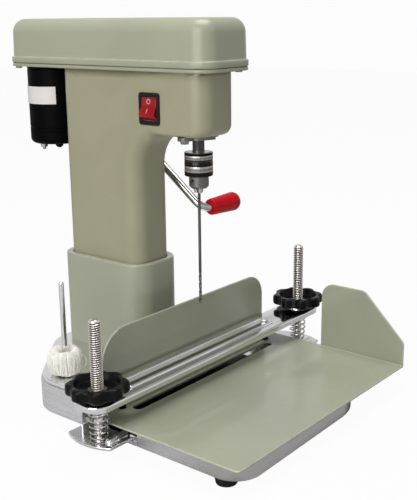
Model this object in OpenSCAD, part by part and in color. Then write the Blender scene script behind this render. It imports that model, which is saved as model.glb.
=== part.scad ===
// Electric paper drill with a clamping table that slides, for thread binding.
// The operator stands at -Y, the column is at +Y, +X is the operator's right, +Z is up.
// Sizes are millimetres, measured from the drill axis and from the bench top.

/* [Base] */
// Height of the rubber feet
foot_h = 11; // [9:0.5:16]
// Diameter of the rubber feet
foot_d = 22; // [18:1:26]
// Drill axis to the left side of the base
base_left = 135; // [130:0.5:145]
// Drill axis to the right side of the base
base_right = 100; // [92:1:115]
// Drill axis to the front edge of the base
base_front = 155; // [148:1:165]
// Drill axis to the rear edge of the base beside the column
base_rear = 128; // [118:1:140]
// Radius of the front left corner of the base
front_left_r = 27; // [18:1:36]
// Radius of the front right corner of the base
front_right_r = 65; // [45:1:75]
// Radius of the rear corners of the base
rear_r = 43; // [30:1:50]
// Radius of the rounded end of the base behind the column
heel_r = 45; // [38:1:50]
// Height of the rear block over the underside of the base
block_h = 34; // [30:1:45]
// Wall of the base casting
base_wall = 5; // [4:0.5:7]
// Floor under the sliding rail
base_floor = 2.7; // [2:0.1:4]
// Thickness of the polished lid on the rear block
lid_t = 4; // [3:0.5:6]

/* [Sliding table] */
// Thickness of the rail that carries the table
rail_t = 3; // [2.5:0.5:5]
// Drill axis to the front edge of the rail
rail_front = 24; // [22:0.5:28]
// Drill axis to the rear edge of the rail
rail_rear = 33; // [30:0.5:36]
// Rail past the axis of each stud
rail_overhang = 17.7; // [15:0.1:20]
// Radius of the bowed ends of the rail
rail_end_r = 55; // [35:1:90]
// Radius of the half-round rib on the rail
rib_r = 4.5; // [3:0.5:5]
// Table underside over the rail
table_rise = 10; // [8:0.5:14]
// Thickness of the table sheet
table_t = 2; // [1.5:0.25:2.5]
// Drill axis to the left edge of the table
table_left = 140.8; // [134:0.2:141]
// Drill axis to the right edge of the table
table_right = 156; // [150:0.5:160]
// Drill axis to the front edge of the table
table_front = 156.8; // [150:0.2:165]
// Drill axis to the rear edge of the table
table_rear = 23.8; // [23.3:0.1:25]
// Width of the slot that the drill runs into
slot_w = 12; // [8:0.5:13]
// Drill axis to the left end of the slot
slot_left = 103.5; // [95:0.5:108]
// Drill axis to the right end of the slot
slot_right = 125.6; // [110:0.2:132]
// Outer radius of the fold between table and side guard
fold_r = 3.5; // [3:0.25:6]
// Drill axis to the rear end of the side guard
guard_rear = 52; // [45:1:70]
// Height of the side guard over the table
guard_h = 76; // [60:1:90]
// Drill axis to the place where the guard starts to slope
guard_break = 107; // [95:1:125]
// Height of the guard at the front edge
guard_front_h = 26; // [15:1:40]
// Thickness of the rear fence
fence_t = 2; // [1.5:0.25:2.5]
// Height of the fence over the table
fence_h = 77; // [60:1:90]
// Drill axis to the left end of the fence
fence_left = 121.5; // [115:0.5:126]
// Drill axis to the right end of the fence
fence_right = 143; // [140:0.5:148]
// Radius of the fence's left top corner
fence_left_r = 35; // [15:1:45]
// Radius of the fence's right top corner
fence_right_r = 26; // [10:1:40]

/* [Clamp] */
// Drill axis to the left stud
stud_left = 151.3; // [151:0.1:158]
// Drill axis to the right stud
stud_right = 183.4; // [176:0.2:190]
// Thread diameter of the studs
stud_d = 12; // [10:0.5:13]
// Thread pitch of the studs
stud_pitch = 2.5; // [2:0.25:3]
// Top of the studs over the rail
stud_h = 117.7; // [105:0.1:130]
// Gap for paper between table and clamp bar
paper_gap = 22; // [12:1:30]
// Height of the clamp bar
bar_h = 7; // [6:0.5:10]
// Sheet thickness of the clamp bar
bar_t = 3; // [2:0.25:3.5]
// Drill axis to the front edge of the clamp bar
bar_front = 21; // [18:0.5:22]
// Drill axis to the rear edge of the clamp bar
bar_rear = 21.5; // [18:0.5:21.5]
// Clamp bar past the axis of each stud
bar_overhang = 21.5; // [18:0.5:24]
// Radius of the clamp bar's corners
bar_corner_r = 17; // [5:1:17]
// Width of the drill slot in the clamp bar
bar_slot_w = 11; // [8:0.5:13]
// Drill axis to each end of the clamp bar's slot
bar_slot_reach = 118; // [108:1:122]
// Diameter over the lobes of the knobs
knob_d = 60; // [50:1:66]
// Height of the knobs
knob_h = 14.5; // [12:0.5:18]
// Lobes on each knob
knob_lobes = 8; // [6:1:10]
// Depth of the dish in the knob's top
knob_dish = 7.3; // [3:0.1:8]
// Outside diameter of the clamp springs
spring_d = 19.5; // [18:0.5:20.5]
// Wire of the clamp springs
spring_wire = 2; // [1.5:0.1:2.4]
// Curls of each clamp spring
spring_curls = 6; // [4:1:8]

/* [Column] */
// Width of the column
column_w = 56; // [52:1:60]
// Drill axis to the front of the column
column_front = 62; // [60:1:64]
// Drill axis to the rear of the column
column_rear = 168; // [166:1:172]
// Radius of the column's front corners
column_front_r = 17; // [10:1:20]
// Radius of the column's rear corners
column_rear_r = 12; // [8:1:18]
// Wall of the head and column casting
column_wall = 4; // [3.5:0.5:5]
// Wall of the lower sleeve
sleeve_wall = 7; // [5:0.5:8]
// Gap between column and sleeve
sleeve_gap = 0.7; // [0.4:0.1:1]
// Height of the sleeve over the base
sleeve_h = 102; // [98:1:106]
// Travel of the head
feed_travel = 84; // [70:1:88]
// Width of the guide post inside the column
post_w = 24; // [20:1:26]
// Depth of the guide post inside the column
post_depth = 22; // [18:1:23]

/* [Head] */
// Bench to the underside of the arm
arm_under = 286; // [282:1:292]
// Height of the arm
arm_h = 63; // [58:0.5:66]
// Drill axis to the front of the nose
nose_front = 29; // [26:1:34]
// Radius of the nose's corners
nose_r = 18; // [10:1:22]
// Radius of the nose's lower front edge
nose_edge_r = 12; // [4:1:16]
// Radius of the throat between arm and column
throat_r = 38; // [20:1:40]
// Drill axis to the middle of the switch
switch_y = 38.7; // [37:0.1:42]
// Middle of the switch over the arm's underside
switch_rise = 26; // [22:1:36]
// Width of the switch bezel
switch_w = 27; // [26:0.5:30]
// Height of the switch bezel
switch_h = 32; // [31:0.5:36]

/* [Belt cover and motor] */
// Width of the cover over its rim
cover_w = 80; // [76:1:90]
// Drill axis to the front of the rim
cover_front = 43.4; // [40:0.2:50]
// Drill axis to the rear of the rim
cover_rear = 246; // [242:1:258]
// Corner radius of the rim
cover_r = 22; // [16:1:28]
// Height of the cover over its tray
cover_h = 47.5; // [44:0.5:56]
// Height of the rim band
rim_h = 6.5; // [5:0.5:12]
// Rim band past the wall of the cover
rim_step = 2; // [1:0.5:3]
// Wall of the cover
cover_wall = 2.5; // [2:0.25:3]
// Radius of the cover's top edge
cover_edge_r = 14; // [6:1:14]
// Thickness of the tray under the cover
tray_t = 3; // [2:0.5:5]
// Drill axis to the motor axis
motor_y = 210; // [206:0.5:214]
// Diameter of the motor
motor_d = 59; // [50:1:62]
// Length of the motor below the tray
motor_len = 86; // [76:0.5:92]
// Length of the motor's lower end cap
motor_cap_len = 14; // [10:1:20]

/* [Spindle and chuck] */
// Diameter of the spindle in its bearings
spindle_d = 12; // [10:0.5:12.5]
// Outside diameter of the spindle bearings
bearing_d = 28; // [24:1:30]
// Width of the spindle bearings
bearing_w = 8; // [6:1:9]
// Gap between the arm and the chuck
chuck_drop = 16.5; // [12:0.1:18]
// Length of the chuck
chuck_len = 36.5; // [35:0.1:38]
// Outside diameter of the chuck's sleeve
chuck_d = 29; // [26:0.5:30]
// Diameter of the chuck's nose
chuck_nose_d = 20; // [18.5:0.1:20]
// Diameter of the drill
drill_d = 3; // [2:0.1:3]
// Drill below the chuck
drill_reach = 122.3; // [100:0.1:130]
// Slant of the chuck jaws in degrees
jaw_slant = 12; // [10:0.5:13]
// Groove radius of the spindle pulley
spindle_pulley_r = 22; // [18:1:24]
// Groove radius of the motor pulley
motor_pulley_r = 10; // [8:0.5:14]

/* [Feed lever] */
// Drill axis to the lever's axis
pivot_y = 100; // [97:0.5:101]
// Lever's axis below the arm's underside
pivot_drop = 31.4; // [30:0.1:36]
// Teeth of the feed pinion
pinion_teeth = 24; // [20:1:24]
// Module of the feed gearing
gear_module = 2; // [1.75:0.05:2]
// Diameter of the feed shaft
feed_shaft_d = 14; // [12:0.5:16]
// Diameter of the lever's rod
rod_d = 8.5; // [6:0.5:9]
// Gap between the column and the rod
rod_gap = 8; // [6:0.5:12]
// Lever's axis to the axis of the grip
lever_len = 89.6; // [80:0.2:95]
// Slope of the lever below level at rest, in degrees
lever_slope = 37.6; // [25:0.2:45]
// Bend radius of the rod
rod_bend_r = 12; // [9:1:16]
// Length of the grip
grip_len = 45; // [40:1:60]
// Diameter of the grip's outer end
grip_d = 21; // [17:0.5:25]

/* [Thread] */
// Drill axis to the thread post, to the left
thread_x = 110; // [100:0.5:112]
// Drill axis to the thread post, to the rear
thread_y = 90.5; // [82:0.5:96]
// Diameter of the thread post
thread_post_d = 5.4; // [4:0.2:6]
// Height of the thread post over the base
thread_post_h = 99; // [70:1:120]
// Width of the thread ball
ball_d = 38; // [32:1:42]
// Height of the thread ball
ball_h = 28; // [22:1:32]
// Loops of thread on the ball
ball_loops = 18; // [12:1:20]
// Diameter of one loop's strand
strand_d = 1.4; // [1:0.1:1.5]

/* [Hidden] */
$fn = 64;
// Clearances: sliding, running, and between a screw and its hole
slide_gap = 0.3;
run_gap = 0.06;
screw_gap = 0.1;

// Heights over the bench
z_base = foot_h;
z_floor = z_base + base_floor;
z_rail = z_floor + slide_gap;
z_rail_top = z_rail + rail_t;
z_table = z_rail_top + table_rise;
z_table_top = z_table + table_t;
z_deck = z_table - slide_gap;
z_block = z_base + block_h;
z_lid = z_block - lid_t;
z_bar = z_table_top + paper_gap;
z_bar_top = z_bar + bar_h;
washer_t = 1.4;
z_knob = z_bar_top + washer_t + 0.1;
z_sleeve_top = z_block + sleeve_h;
z_column = z_block + feed_travel + 1;
z_arm_top = arm_under + arm_h;
z_tray_top = z_arm_top + tray_t;
z_cover_top = z_tray_top + cover_h;
z_chuck_top = arm_under - chuck_drop;
z_chuck = z_chuck_top - chuck_len;
z_tip = z_chuck - drill_reach;
z_pivot = arm_under - pivot_drop;

// The frame's origin: middle of the box over everything, on the bench
x_mid = (stud_right - stud_left) / 2;
y_mid = (cover_rear - table_front) / 2;

// Base outline as corner circles, and the trough across it for the rail
sleeve_half_w = column_w / 2 + sleeve_gap + sleeve_wall;
sleeve_front = column_front - sleeve_gap - sleeve_wall;
sleeve_rear = column_rear + sleeve_gap + sleeve_wall;
heel_margin = 6;
heel_x = sleeve_half_w - 7;
heel_y = sleeve_rear + heel_margin - heel_r;
base_circles = [
    [front_left_r - base_left, front_left_r - base_front, front_left_r],
    [base_right - front_right_r, front_right_r - base_front + 3, front_right_r],
    [base_right - rear_r, base_rear - rear_r, rear_r],
    [heel_x, heel_y, heel_r],
    [-heel_x, heel_y, heel_r],
    [rear_r - base_left, base_rear - rear_r, rear_r]
];
strip_w = 8;
strip_lip = 3;
trough_front = rail_front + slide_gap + strip_w;
trough_rear = rail_rear + slide_gap + strip_w;
deck_t = 4;
foot_inset = 15.5;
foot_front = 28;
foot_boss_d = 16;
foot_screw_d = 4.8;
foot_places = [
    [foot_inset - base_left, foot_front - base_front],
    [base_circles[1].x + (front_right_r - foot_inset) * cos(50),
     base_circles[1].y - (front_right_r - foot_inset) * sin(50)],
    [heel_x + heel_r - foot_inset, heel_y],
    [foot_inset - heel_x - heel_r, heel_y]
];

// Carriage: the screws stand just past the slot's ends, on two cross blocks
screw_y = 11;
screw_offset = 5.5;
table_screw_d = 4.6;
block_w = 11;
block_front = 9;
screw_xs = [-slot_left - screw_offset, slot_right + screw_offset];
rib_y = rail_front - strip_lip - rib_r - 1.5;
rail_y = (rail_rear - rail_front) / 2;
rib_end = 6;
fence_y = table_rear + 0.2;
flange_front = slot_w / 2 + 1.5;
stud_xs = [-stud_left, stud_right];
stud_spigot_d = 8;
thread_depth = 1.1;
stud_root_d = stud_d - 2 * thread_depth;
insert_wall = 3;
washer_flange = 5;
insert_d = stud_d + 2 * insert_wall;
washer_d = insert_d + 2 * washer_flange;
bead_r = 2;

// Column inside, guide post and rack
cavity_half_w = column_w / 2 - column_wall;
cavity_front = column_front + column_wall;
cavity_rear = column_rear - column_wall;
pitch_r = pinion_teeth * gear_module / 2;
rack_y = pivot_y + pitch_r;
rack_root = rack_y + 1.25 * gear_module;
rack_back = 5.5;
rack_w = 12;
post_y = rack_root + rack_back;
post_over = 12;
z_post_top = z_pivot + post_over;
post_gap = 0.15;
liner_h = 15;
liner_gap = 0.1;
liner_reach = 8;
liner_low = 12;
liner_high = 6;
liner_front = rack_y - gear_module - liner_reach;
liner_zs = [z_column + liner_low, z_pivot - pitch_r - gear_module - liner_h - liner_high];
seat_t = 4;
seat_rim = 3;
z_seat = z_pivot - pitch_r - gear_module - seat_t - 9;
return_d = 18;
return_wire = 2;
return_curls = 18;
return_y = cavity_front + return_d / 2 + 2;
bush_wall = 3;
boss_len = 11;
boss_d = feed_shaft_d + 2 * bush_wall + 8;

// Head details
bearing_zs = [arm_under + 1, z_arm_top - bearing_w - 2];
switch_z = arm_under + switch_rise;
rocker_r = 11.9;
rocker_w = 20;
rocker_axis = 4;
bezel_t = 2.2;
gland_z = z_pivot - 4.6;
gland_bore_d = 8;
gland_d = 13;
cap_ear_r = 7;
cap_screw_d = 4.2;
cap_screw_x = column_w / 2 - cap_ear_r;
cap_t = 3.5;

// Cover, pulleys and belt
wall_half_w = cover_w / 2 - rim_step;
z_rim = z_tray_top + 1;
tray_inset = 3.3;
tray_hole_x = post_w / 2 + 4;
belt_t = 4;
belt_h = 6;
belt_gap = 0.3;
pulley_h = 12;
pulley_flange = 4;
z_pulley = z_tray_top + 6;
cover_screw_front = 17;
cover_screw_rear = 15;
cover_screw_side = 3.5;
cover_screw_places = [
    for (x = [-1, 1]) for (y = [cover_screw_front - cover_front, cover_rear - cover_screw_rear])
        [x * (wall_half_w - cover_wall - cover_screw_side), y]
];
cover_screw_d = 3.6;
cover_screw_len = 10;
cover_boss_d = 8;
motor_r = motor_d / 2;
motor_shaft_d = 8;
z_motor = z_arm_top - motor_len;
motor_bolt_inset = 9.5;
motor_bolt_x = motor_r - motor_bolt_inset;
motor_bolt_d = 4;

// Chuck
key_hole_d = 5.4;
chuck_core_d = 20;
collar_h = 8.7;
nose_h = 12;
jaw_d = 4;
jaw_len = 16;
jaw_gap = 0.07;
jaw_out = 5;
jaw_travel = 6;
jaw_axis_r = drill_d / 2 + 1.5;

// Lever: the arm's direction at rest and the rod's plane
rod_x = column_w / 2 + rod_gap + rod_d / 2;
hub_d = 22;
hub_x = column_w / 2 + 0.5;
grip_x = rod_x + rod_bend_r + 1;
grip_end = 10;
grip_hole = grip_len - grip_end;

// Thread ball as a ring wound around an oval section
ball_bore_r = thread_post_d / 2 + 3.6;
ball_mid_r = (ball_d / 2 - strand_d / 2 + ball_bore_r + strand_d / 2) / 2;
ball_oval_x = (ball_d / 2 - strand_d / 2 - ball_bore_r - strand_d / 2) / 2;
ball_oval_z = ball_h / 2 - strand_d / 2;
z_ball = z_block + slide_gap + ball_h / 2;
thread_shank_d = thread_post_d + 1.2;
z_shank = z_block + ball_h + 2;

// Colours as photographed
sage = [0.62, 0.63, 0.54];
satin = [0.75, 0.75, 0.78];
chrome = [0.82, 0.82, 0.84];
steel = [0.6, 0.6, 0.62];
black = [0.08, 0.08, 0.09];
rubber = [0.12, 0.12, 0.12];
brass = [0.75, 0.6, 0.3];
bronze = [0.65, 0.45, 0.25];
red = [0.8, 0.08, 0.1];
thread_white = [0.93, 0.91, 0.86];

// Moves a piece from the drill axis to the frame's origin
module place() {
    translate([-x_mid, -y_mid, 0]) children();
}

// Unit vector of the outer tangent's normal from circle a to circle b, counterclockwise
function tangent_normal(a, b) =
    let (d = [b.x - a.x, b.y - a.y], turn = atan2(d.y, d.x) - 90 + asin((a[2] - b[2]) / norm(d)))
    [cos(turn), sin(turn)];

// Outline around corner circles [x, y, r], moved out by grow
module round_outline(circles, grow = 0) {
    n = len(circles);
    polygon([
        for (i = [0 : n - 1])
            let (a = circles[i], b = circles[(i + 1) % n], k = tangent_normal(a, b))
            each [[a.x, a.y] + k * (a[2] + grow), [b.x, b.y] + k * (b[2] + grow)]
    ]);
    for (c = circles) translate([c.x, c.y]) circle(c[2] + grow);
}

// Corner circles of a rectangle with its own radius at the front and at the rear
function rect_circles(x0, x1, y0, y1, r_front, r_rear) = [
    [x0 + r_front, y0 + r_front, r_front],
    [x1 - r_front, y0 + r_front, r_front],
    [x1 - r_rear, y1 - r_rear, r_rear],
    [x0 + r_rear, y1 - r_rear, r_rear]
];

// Upright block with a rounded rectangle as its plan
module slab(x0, x1, y0, y1, z0, z1, r_front, r_rear, grow = 0) {
    translate([0, 0, z0])
        linear_extrude(z1 - z0) round_outline(rect_circles(x0, x1, y0, y1, r_front, r_rear), grow);
}

module box(x0, x1, y0, y1, z0, z1) {
    translate([x0, y0, z0]) cube([x1 - x0, y1 - y0, z1 - z0]);
}

// Upright cylinder, and cylinders along X and along Y, between two ends
module rod_z(x, y, z0, z1, d) {
    translate([x, y, z0]) cylinder(h = z1 - z0, d = d);
}
module rod_along_x(y, z, x0, x1, d) {
    translate([x0, y, z]) rotate([0, 90, 0]) cylinder(h = x1 - x0, d = d);
}
module rod_along_y(x, z, y0, y1, d) {
    translate([x, y0, z]) rotate([-90, 0, 0]) cylinder(h = y1 - y0, d = d);
}

// Upright slot with round ends along X
module slot_x(x0, x1, y, width, z0, z1) {
    rod_z(x0 + width / 2, y, z0, z1, width);
    rod_z(x1 - width / 2, y, z0, z1, width);
    box(x0 + width / 2, x1 - width / 2, y - width / 2, y + width / 2, z0, z1);
}

// Tube of triangles along points; the normals stand square to the path
module tube(points, normals, radius, sides = 6) {
    n = len(points);
    tangents = [
        for (i = [0 : n - 1])
            let (d = points[min(i + 1, n - 1)] - points[max(i - 1, 0)]) d / norm(d)
    ];
    rings = [
        for (i = [0 : n - 1])
            let (flat = normals[i] - tangents[i] * (normals[i] * tangents[i]),
                 u = flat / norm(flat), v = cross(tangents[i], u))
            for (j = [0 : sides - 1])
                points[i] + radius * (cos(360 * j / sides) * u + sin(360 * j / sides) * v)
    ];
    side_faces = [
        for (i = [0 : n - 2]) for (j = [0 : sides - 1])
            let (a = i * sides + j, b = i * sides + (j + 1) % sides, c = b + sides, d = a + sides)
            each [[a, d, c], [a, c, b]]
    ];
    start_cap = [for (j = [1 : sides - 2]) [0, j, j + 1]];
    last = (n - 1) * sides;
    end_cap = [for (j = [1 : sides - 2]) [last, last + j + 1, last + j]];
    polyhedron(points = rings, faces = concat(side_faces, start_cap, end_cap));
}

// Least gap of a tube to itself, between points at least apart steps away along it
function self_gap(points, diameter, apart) =
    min([
        for (i = [0 : len(points) - 1 - apart])
            min([for (j = [i + apart : len(points) - 1]) norm(points[i] - points[j])])
    ]) - diameter;

// Coil spring between two heights, with eight rings to a curl
module coil(name, x, y, z0, z1, outer_d, wire, curls) {
    steps = 8 * curls;
    r = (outer_d - wire) / 2;
    low = z0 + wire / 2;
    high = z1 - wire / 2;
    turns = [for (i = [0 : steps]) 360 * i / 8];
    points = [
        for (i = [0 : steps]) [r * cos(turns[i]), r * sin(turns[i]), low + (high - low) * i / steps]
    ];
    normals = [for (a = turns) [cos(a), sin(a), 0]];
    echo(str(name, " least gap to itself, mm: ", self_gap(points, wire, 5)));
    translate([x, y, 0]) tube(points, normals, wire / 2);
}

module base_casting() {
    color(satin) place() difference() {
        union() {
            translate([0, 0, z_base]) linear_extrude(z_deck - z_base) round_outline(base_circles);
            intersection() {
                translate([0, 0, z_base]) linear_extrude(z_lid - z_base) round_outline(base_circles);
                box(-base_left, base_right, trough_rear, sleeve_rear + 2 * heel_margin, z_base, z_lid);
            }
        }
        box(-base_left - 1, base_right + 1, -trough_front, trough_rear, z_floor, z_lid);
        base_hollow(-base_front, -trough_front - base_wall, z_deck - deck_t);
        base_hollow(trough_rear + base_wall, sleeve_rear + heel_margin, z_lid - deck_t);
        for (p = foot_places) rod_z(p.x, p.y, z_base - 1, z_base + 8, foot_screw_d);
    }
}

// Hollow from below, with a boss left over each foot
module base_hollow(y0, y1, z1) {
    difference() {
        intersection() {
            translate([0, 0, z_base - 1]) linear_extrude(z1 - z_base + 1)
                round_outline(base_circles, -base_wall);
            box(-base_left, base_right, y0, y1, z_base - 1, z1);
        }
        for (p = foot_places) rod_z(p.x, p.y, z_base - 2, z1 + 1, foot_boss_d);
    }
}

module base_lid() {
    color(satin) place() difference() {
        intersection() {
            translate([0, 0, z_lid]) linear_extrude(lid_t) round_outline(base_circles, -1.5);
            box(-base_left, base_right, trough_rear + 1.5, sleeve_rear + heel_margin, z_lid, z_block);
        }
        rod_z(-thread_x, thread_y, z_lid - 1, z_block + 1, thread_shank_d);
    }
}

module rubber_feet() {
    r = foot_d / 2;
    taper_h = 4;
    taper_in = 3;
    well_h = 4;
    well_d = 11;
    color(rubber) place() for (p = foot_places) translate([p.x, p.y, 0]) difference() {
        union() {
            translate([0, 0, taper_h]) cylinder(h = foot_h - taper_h, r = r);
            cylinder(h = taper_h, r1 = r - taper_in, r2 = r);
        }
        translate([0, 0, -1]) cylinder(h = well_h + 1, d = well_d);
        cylinder(h = foot_h + 1, d = foot_screw_d + screw_gap);
    }
}

module foot_screws() {
    color(steel) place() for (p = foot_places) {
        rod_z(p.x, p.y, 1.2, 3.9, 9.5);
        rod_z(p.x, p.y, 3.5, z_base + 7.5, foot_screw_d - screw_gap);
    }
}

// Two strips with lips that hold the rail down and guide it along X
module rail_guides() {
    z_lip = z_rail_top + slide_gap;
    color(steel) place() {
        guide_strip(-trough_front, -rail_front - slide_gap, -trough_front, strip_lip - rail_front, z_lip);
        guide_strip(rail_rear + slide_gap, trough_rear, rail_rear - strip_lip, trough_rear, z_lip);
    }
}

module guide_strip(y0, y1, lip_y0, lip_y1, z_lip) {
    end = 3;
    box(end - base_left, base_right - end, y0, y1, z_floor, z_lip);
    box(end - base_left, base_right - end, lip_y0, lip_y1, z_lip, z_lip + 2);
}

module column_sleeve() {
    half_w = column_w / 2;
    color(sage) place() difference() {
        slab(-half_w, half_w, column_front, column_rear, z_block, z_sleeve_top,
             column_front_r, column_rear_r, sleeve_gap + sleeve_wall);
        slab(-half_w, half_w, column_front, column_rear, z_block - 1, z_sleeve_top + 1,
             column_front_r, column_rear_r, sleeve_gap);
    }
}

module guide_post() {
    foot_flange = 4;
    color(steel) place() {
        box(-post_w / 2, post_w / 2, post_y, post_y + post_depth, z_block, z_post_top);
        box(-post_w / 2 - 6, post_w / 2 + 6, post_y, post_y + post_depth + 5,
            z_block, z_block + foot_flange);
    }
}

// Straight rack: teeth point to -Y, with a gap on the level of the lever's axis
module feed_rack() {
    pitch = PI * gear_module;
    tip = gear_module;
    root = 1.25 * gear_module;
    slope = tan(20);
    backlash = 0.5;
    half_tip = pitch / 4 - backlash / 4 - tip * slope;
    half_root = pitch / 4 - backlash / 4 + root * slope;
    below = ceil((feed_travel + 8) / pitch);
    above = 1;
    outline = concat(
        [[rack_back + root, -(below + 0.5) * pitch]],
        [for (i = [-below : above]) each [
            [root, (i - 0.5) * pitch - half_root], [-tip, (i - 0.5) * pitch - half_tip],
            [-tip, (i - 0.5) * pitch + half_tip], [root, (i - 0.5) * pitch + half_root]
        ]],
        [[root, (above + 0.1) * pitch], [rack_back + root, (above + 0.1) * pitch]]
    );
    color(steel) place() translate([-rack_w / 2, rack_y, z_pivot])
        rotate([90, 0, 90]) linear_extrude(rack_w) polygon(outline);
}

module return_spring() {
    color(steel) place()
        coil("return_spring", 0, return_y, z_block + slide_gap, z_seat - slide_gap,
             return_d, return_wire, return_curls);
}

module spring_rod() {
    clear = 2;
    color(steel) place()
        rod_z(0, return_y, z_block, z_seat - feed_travel - 6, return_d - 2 * return_wire - clear);
}

// Post with a thicker shank inside the ball
module thread_post() {
    dome = thread_post_d / 2;
    pin_d = thread_post_d - screw_gap / 2;
    color(steel) place() translate([-thread_x, thread_y, 0]) {
        rod_z(0, 0, z_lid, z_shank, thread_shank_d - screw_gap / 2);
        rod_z(0, 0, z_shank - 1, z_block + thread_post_h - dome, pin_d);
        translate([0, 0, z_block + thread_post_h - dome]) sphere(d = pin_d);
    }
}

// Core under the loops: an oval section turned around the post
module thread_core() {
    inset = strand_d / 2 + 0.1;
    color(thread_white) place() translate([-thread_x, thread_y, z_ball]) rotate_extrude()
        polygon([for (a = [0 : 15 : 345])
            [ball_mid_r + (ball_oval_x - inset) * cos(a), (ball_oval_z - inset) * sin(a)]]);
}

// One strand looped over the ball and back through its bore, advancing around the post
module thread_winding() {
    rings = 24;
    steps = rings * ball_loops;
    around = [for (i = [0 : steps]) 360 * i / rings];
    along = [for (i = [0 : steps]) 360 * i / steps * (ball_loops - 0.5) / ball_loops];
    points = [
        for (i = [0 : steps])
            let (r = ball_mid_r + ball_oval_x * cos(around[i]))
            [r * cos(along[i]), r * sin(along[i]), ball_oval_z * sin(around[i])]
    ];
    normals = [
        for (i = [0 : steps])
            let (out = cos(around[i]) / ball_oval_x)
            [out * cos(along[i]), out * sin(along[i]), sin(around[i]) / ball_oval_z]
    ];
    echo(str("thread_winding least gap to itself, mm: ", self_gap(points, strand_d, rings - 6)));
    color(thread_white) place() translate([-thread_x, thread_y, z_ball])
        tube(points, normals, strand_d / 2);
}

// Flat rail with bowed ends and a half-round rib along its front
module lower_rail() {
    x0 = -stud_left - rail_overhang;
    x1 = stud_right + rail_overhang;
    color(chrome) place() difference() {
        union() {
            translate([0, 0, z_rail]) linear_extrude(rail_t) intersection() {
                union() {
                    translate([x0 + rail_end_r, rail_y]) circle(rail_end_r);
                    translate([x1 - rail_end_r, rail_y]) circle(rail_end_r);
                    translate([x0 + rail_end_r, -rail_front])
                        square([x1 - x0 - 2 * rail_end_r, rail_front + rail_rear]);
                }
                translate([x0, -rail_front]) square([x1 - x0, rail_front + rail_rear]);
            }
            intersection() {
                rod_along_x(-rib_y, z_rail_top, -stud_left - rib_end, stud_right + rib_end, 2 * rib_r);
                box(x0, x1, -rail_front, 0, z_rail + rail_t / 2, z_rail_top + rib_r + 1);
            }
        }
        for (x = stud_xs) rod_z(x, 0, z_rail - 1, z_rail_top + 1, stud_spigot_d);
    }
}

// Cross blocks between the rail and the table
module table_blocks() {
    color(steel) place() for (x = screw_xs) difference() {
        box(x - block_w / 2, x + block_w / 2, -block_front, rail_rear - strip_lip - 1,
            z_rail_top, z_table - fence_t);
        rod_z(x, screw_y, z_rail_top + 1, z_table, table_screw_d);
    }
}

module table_plate() {
    color(sage) place() difference() {
        union() {
            slab(-table_left, table_right - fold_r, -table_front, table_rear, z_table, z_table_top, 4, 4);
            box(table_right - fold_r - 8, table_right, -guard_rear, table_rear, z_table, z_table_top);
            box(table_right - fold_r - 8, table_right - fold_r, -table_front, -guard_rear,
                z_table, z_table_top);
            side_guard();
        }
        slot_x(-slot_left, slot_right, 0, slot_w, z_table - 1, z_table_top + 1);
        for (x = screw_xs) rod_z(x, screw_y, z_table - 1, z_table_top + 1, table_screw_d + screw_gap);
    }
}

// The table's right edge folded up, with a sloping front
module side_guard() {
    corner_r = 16;
    top = z_table_top + guard_h;
    difference() {
        translate([table_right - fold_r, -table_front, z_table + fold_r]) rotate([-90, 0, 0])
            cylinder(h = table_front - guard_rear, r = fold_r);
        translate([table_right - fold_r, -table_front - 1, z_table + fold_r]) rotate([-90, 0, 0])
            cylinder(h = table_front - guard_rear + 2, r = fold_r - table_t);
        box(table_right - 3 * fold_r, table_right - fold_r, -table_front - 1, 1 - guard_rear,
            z_table - 1, top);
        box(table_right - 3 * fold_r, table_right + 1, -table_front - 1, 1 - guard_rear,
            z_table + fold_r, top);
    }
    translate([table_right - table_t, 0, 0]) rotate([90, 0, 90]) linear_extrude(table_t) {
        polygon([
            [-table_front, z_table + fold_r], [-guard_rear, z_table + fold_r],
            [-guard_rear, top - corner_r], [-guard_rear - corner_r, top],
            [-guard_break, top], [-table_front, z_table_top + guard_front_h]
        ]);
        translate([-guard_rear - corner_r, top - corner_r]) circle(corner_r);
    }
}

// Upright sheet behind the paper, with a flange held under the table
module rear_fence() {
    top = z_table_top + fence_h;
    color(sage) place() difference() {
        union() {
            translate([0, fence_y + fence_t, 0]) rotate([90, 0, 0]) linear_extrude(fence_t) {
                polygon([
                    [-fence_left, z_table - fence_t], [fence_right, z_table - fence_t],
                    [fence_right, top - fence_right_r], [fence_right - fence_right_r, top],
                    [fence_left_r - fence_left, top], [-fence_left, top - fence_left_r]
                ]);
                translate([fence_left_r - fence_left, top - fence_left_r]) circle(fence_left_r);
                translate([fence_right - fence_right_r, top - fence_right_r]) circle(fence_right_r);
            }
            box(-fence_left, fence_right, flange_front, fence_y + 1, z_table - fence_t, z_table);
        }
        for (x = screw_xs)
            rod_z(x, screw_y, z_table - fence_t - 1, z_table + 1, table_screw_d + screw_gap);
    }
}

module table_screws() {
    head_h = 2;
    head_d = 8;
    slot_w = 1;
    end_gap = 1.5;
    color(black) place() for (x = screw_xs) difference() {
        union() {
            rod_z(x, screw_y, z_table_top, z_table_top + head_h, head_d);
            rod_z(x, screw_y, z_rail_top + end_gap, z_table_top + 1, table_screw_d - screw_gap);
        }
        box(x - head_d, x + head_d, screw_y - slot_w / 2, screw_y + slot_w / 2,
            z_table_top + head_h / 2, z_table_top + head_h + 1);
    }
}

module left_stud() {
    color(chrome) place() stud(-stud_left);
}
module right_stud() {
    color(chrome) place() stud(stud_right);
}

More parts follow.
